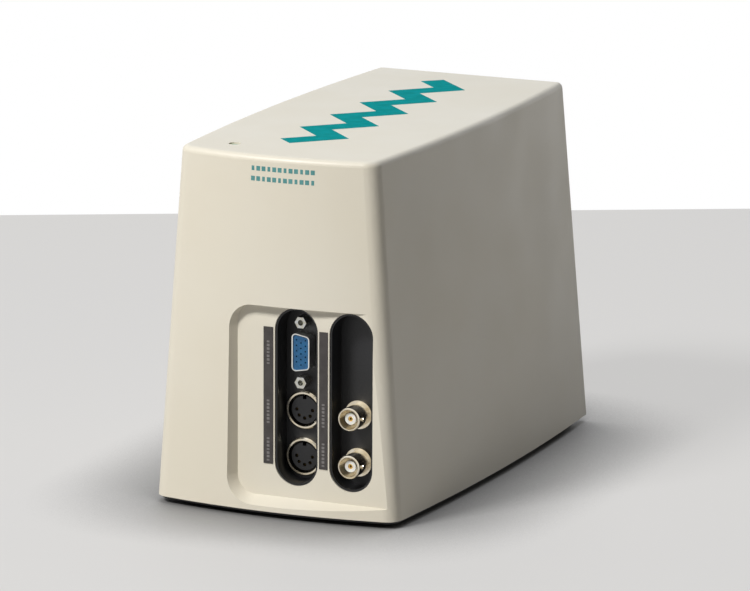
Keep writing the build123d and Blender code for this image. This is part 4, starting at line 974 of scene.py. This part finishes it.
def make_floor(look):
    """A pale table top whose far edge lies behind the object, as seen from the camera."""
    away = TARGET - CAMERA_PLACE
    away.z = 0
    away.normalize()
    across = Vector((away.y, -away.x, 0))
    left = -TABLE_HALF_WIDTH
    right = TABLE_HALF_WIDTH
    outline = (
        (-TABLE_NEAR, left),
        (-TABLE_NEAR, right),
        (TABLE_BEHIND + right * TABLE_TURN, right),
        (TABLE_BEHIND + left * TABLE_TURN, left),
    )
    corners = [away * along + across * side for along, side in outline]
    verts = corners + [c - Vector((0, 0, TABLE_THICKNESS)) for c in corners]
    faces = [(0, 1, 2, 3), (4, 5, 6, 7), (0, 1, 5, 4), (1, 2, 6, 5), (2, 3, 7, 6), (3, 0, 4, 7)]
    mesh = bpy.data.meshes.new("table_top")
    mesh.from_pydata([tuple(v) for v in verts], [], faces)
    mesh.materials.append(satin_laminate(look))
    floor = bpy.data.objects.new("table_top", mesh)
    bpy.context.scene.collection.objects.link(floor)


def make_world(look):
    """Soft even light, with white behind the object and in its reflections."""
    world = bpy.data.worlds.new("studio")
    bpy.context.scene.world = world
    world.use_nodes = True
    tree = world.node_tree
    tree.nodes.clear()
    strength = add(
        tree,
        "ShaderNodeMapRange",
        {"Value": seen_directly(tree), "To Min": look.ambient, "To Max": 1.0},
    )
    back = add(
        tree, "ShaderNodeBackground", {"Color": linear("#FFFFFF"), "Strength": strength.outputs[0]}
    )
    add(tree, "ShaderNodeOutputWorld", {"Surface": back.outputs[0]})


def make_softbox(name, place, width, colour, power):
    """A square softbox aimed at the object."""
    light = bpy.data.lights.new(name, "AREA")
    light.energy = power
    light.color = linear(colour)[:3]
    light.size = width
    lamp = bpy.data.objects.new(name, light)
    lamp.location = place
    lamp.rotation_euler = (TARGET - Vector(place)).to_track_quat("-Z", "Y").to_euler()
    bpy.context.scene.collection.objects.link(lamp)


def make_camera(look):
    """The photograph's viewpoint, drawn closer with a longer lens."""
    data = bpy.data.cameras.new("camera")
    data.sensor_width = SENSOR_WIDTH
    data.lens = look.lens
    data.clip_end = SIGHT_LIMIT
    camera = bpy.data.objects.new("camera", data)
    turn = (TARGET - CAMERA_PLACE).to_track_quat("-Z", "Y").to_matrix()
    roll = Matrix.Rotation(CAMERA_ROLL, 3, "Z")
    camera.matrix_world = Matrix.Translation(CAMERA_PLACE) @ (turn @ roll).to_4x4()
    bpy.context.scene.collection.objects.link(camera)
    bpy.context.scene.camera = camera


class POTENTIOSTAT_PT_panel(bpy.types.Panel):
    """Lists the steps and their settings in the sidebar"""

    bl_idname = "POTENTIOSTAT_PT_panel"
    bl_label = "Potentiostat"
    bl_space_type = "VIEW_3D"
    bl_region_type = "UI"
    bl_category = "Potentiostat"

    def draw(self, context):
        for step in STEPS:
            self.layout.operator(step.bl_idname)
        for group_name, group in GROUPS.items():
            box = self.layout.box()
            for name in group.__annotations__:
                box.prop(getattr(context.scene, group_name), name)


GROUPS = {
    "potentiostat_casing": CasingLook,
    "potentiostat_print": PrintLook,
    "potentiostat_legend": LegendLook,
    "potentiostat_stage": StageLook,
}
STEPS = (
    POTENTIOSTAT_OT_cover,
    POTENTIOSTAT_OT_print,
    POTENTIOSTAT_OT_wells,
    POTENTIOSTAT_OT_legends,
    POTENTIOSTAT_OT_sockets,
    POTENTIOSTAT_OT_fixings,
    POTENTIOSTAT_OT_electronics,
    POTENTIOSTAT_OT_rear,
    POTENTIOSTAT_OT_stage,
)
CLASSES = (*GROUPS.values(), *STEPS, POTENTIOSTAT_PT_panel)


def register():
    for cls in CLASSES:
        bpy.utils.register_class(cls)
    for name, group in GROUPS.items():
        setattr(bpy.types.Scene, name, PointerProperty(type=group))


def unregister():
    for name in GROUPS:
        delattr(bpy.types.Scene, name)
    for cls in reversed(CLASSES):
        bpy.utils.unregister_class(cls)


def main():
    register()
    for step in STEPS:
        group, name = step.bl_idname.split(".")
        getattr(getattr(bpy.ops, group), name)()


if __name__ == "__main__":
    main()
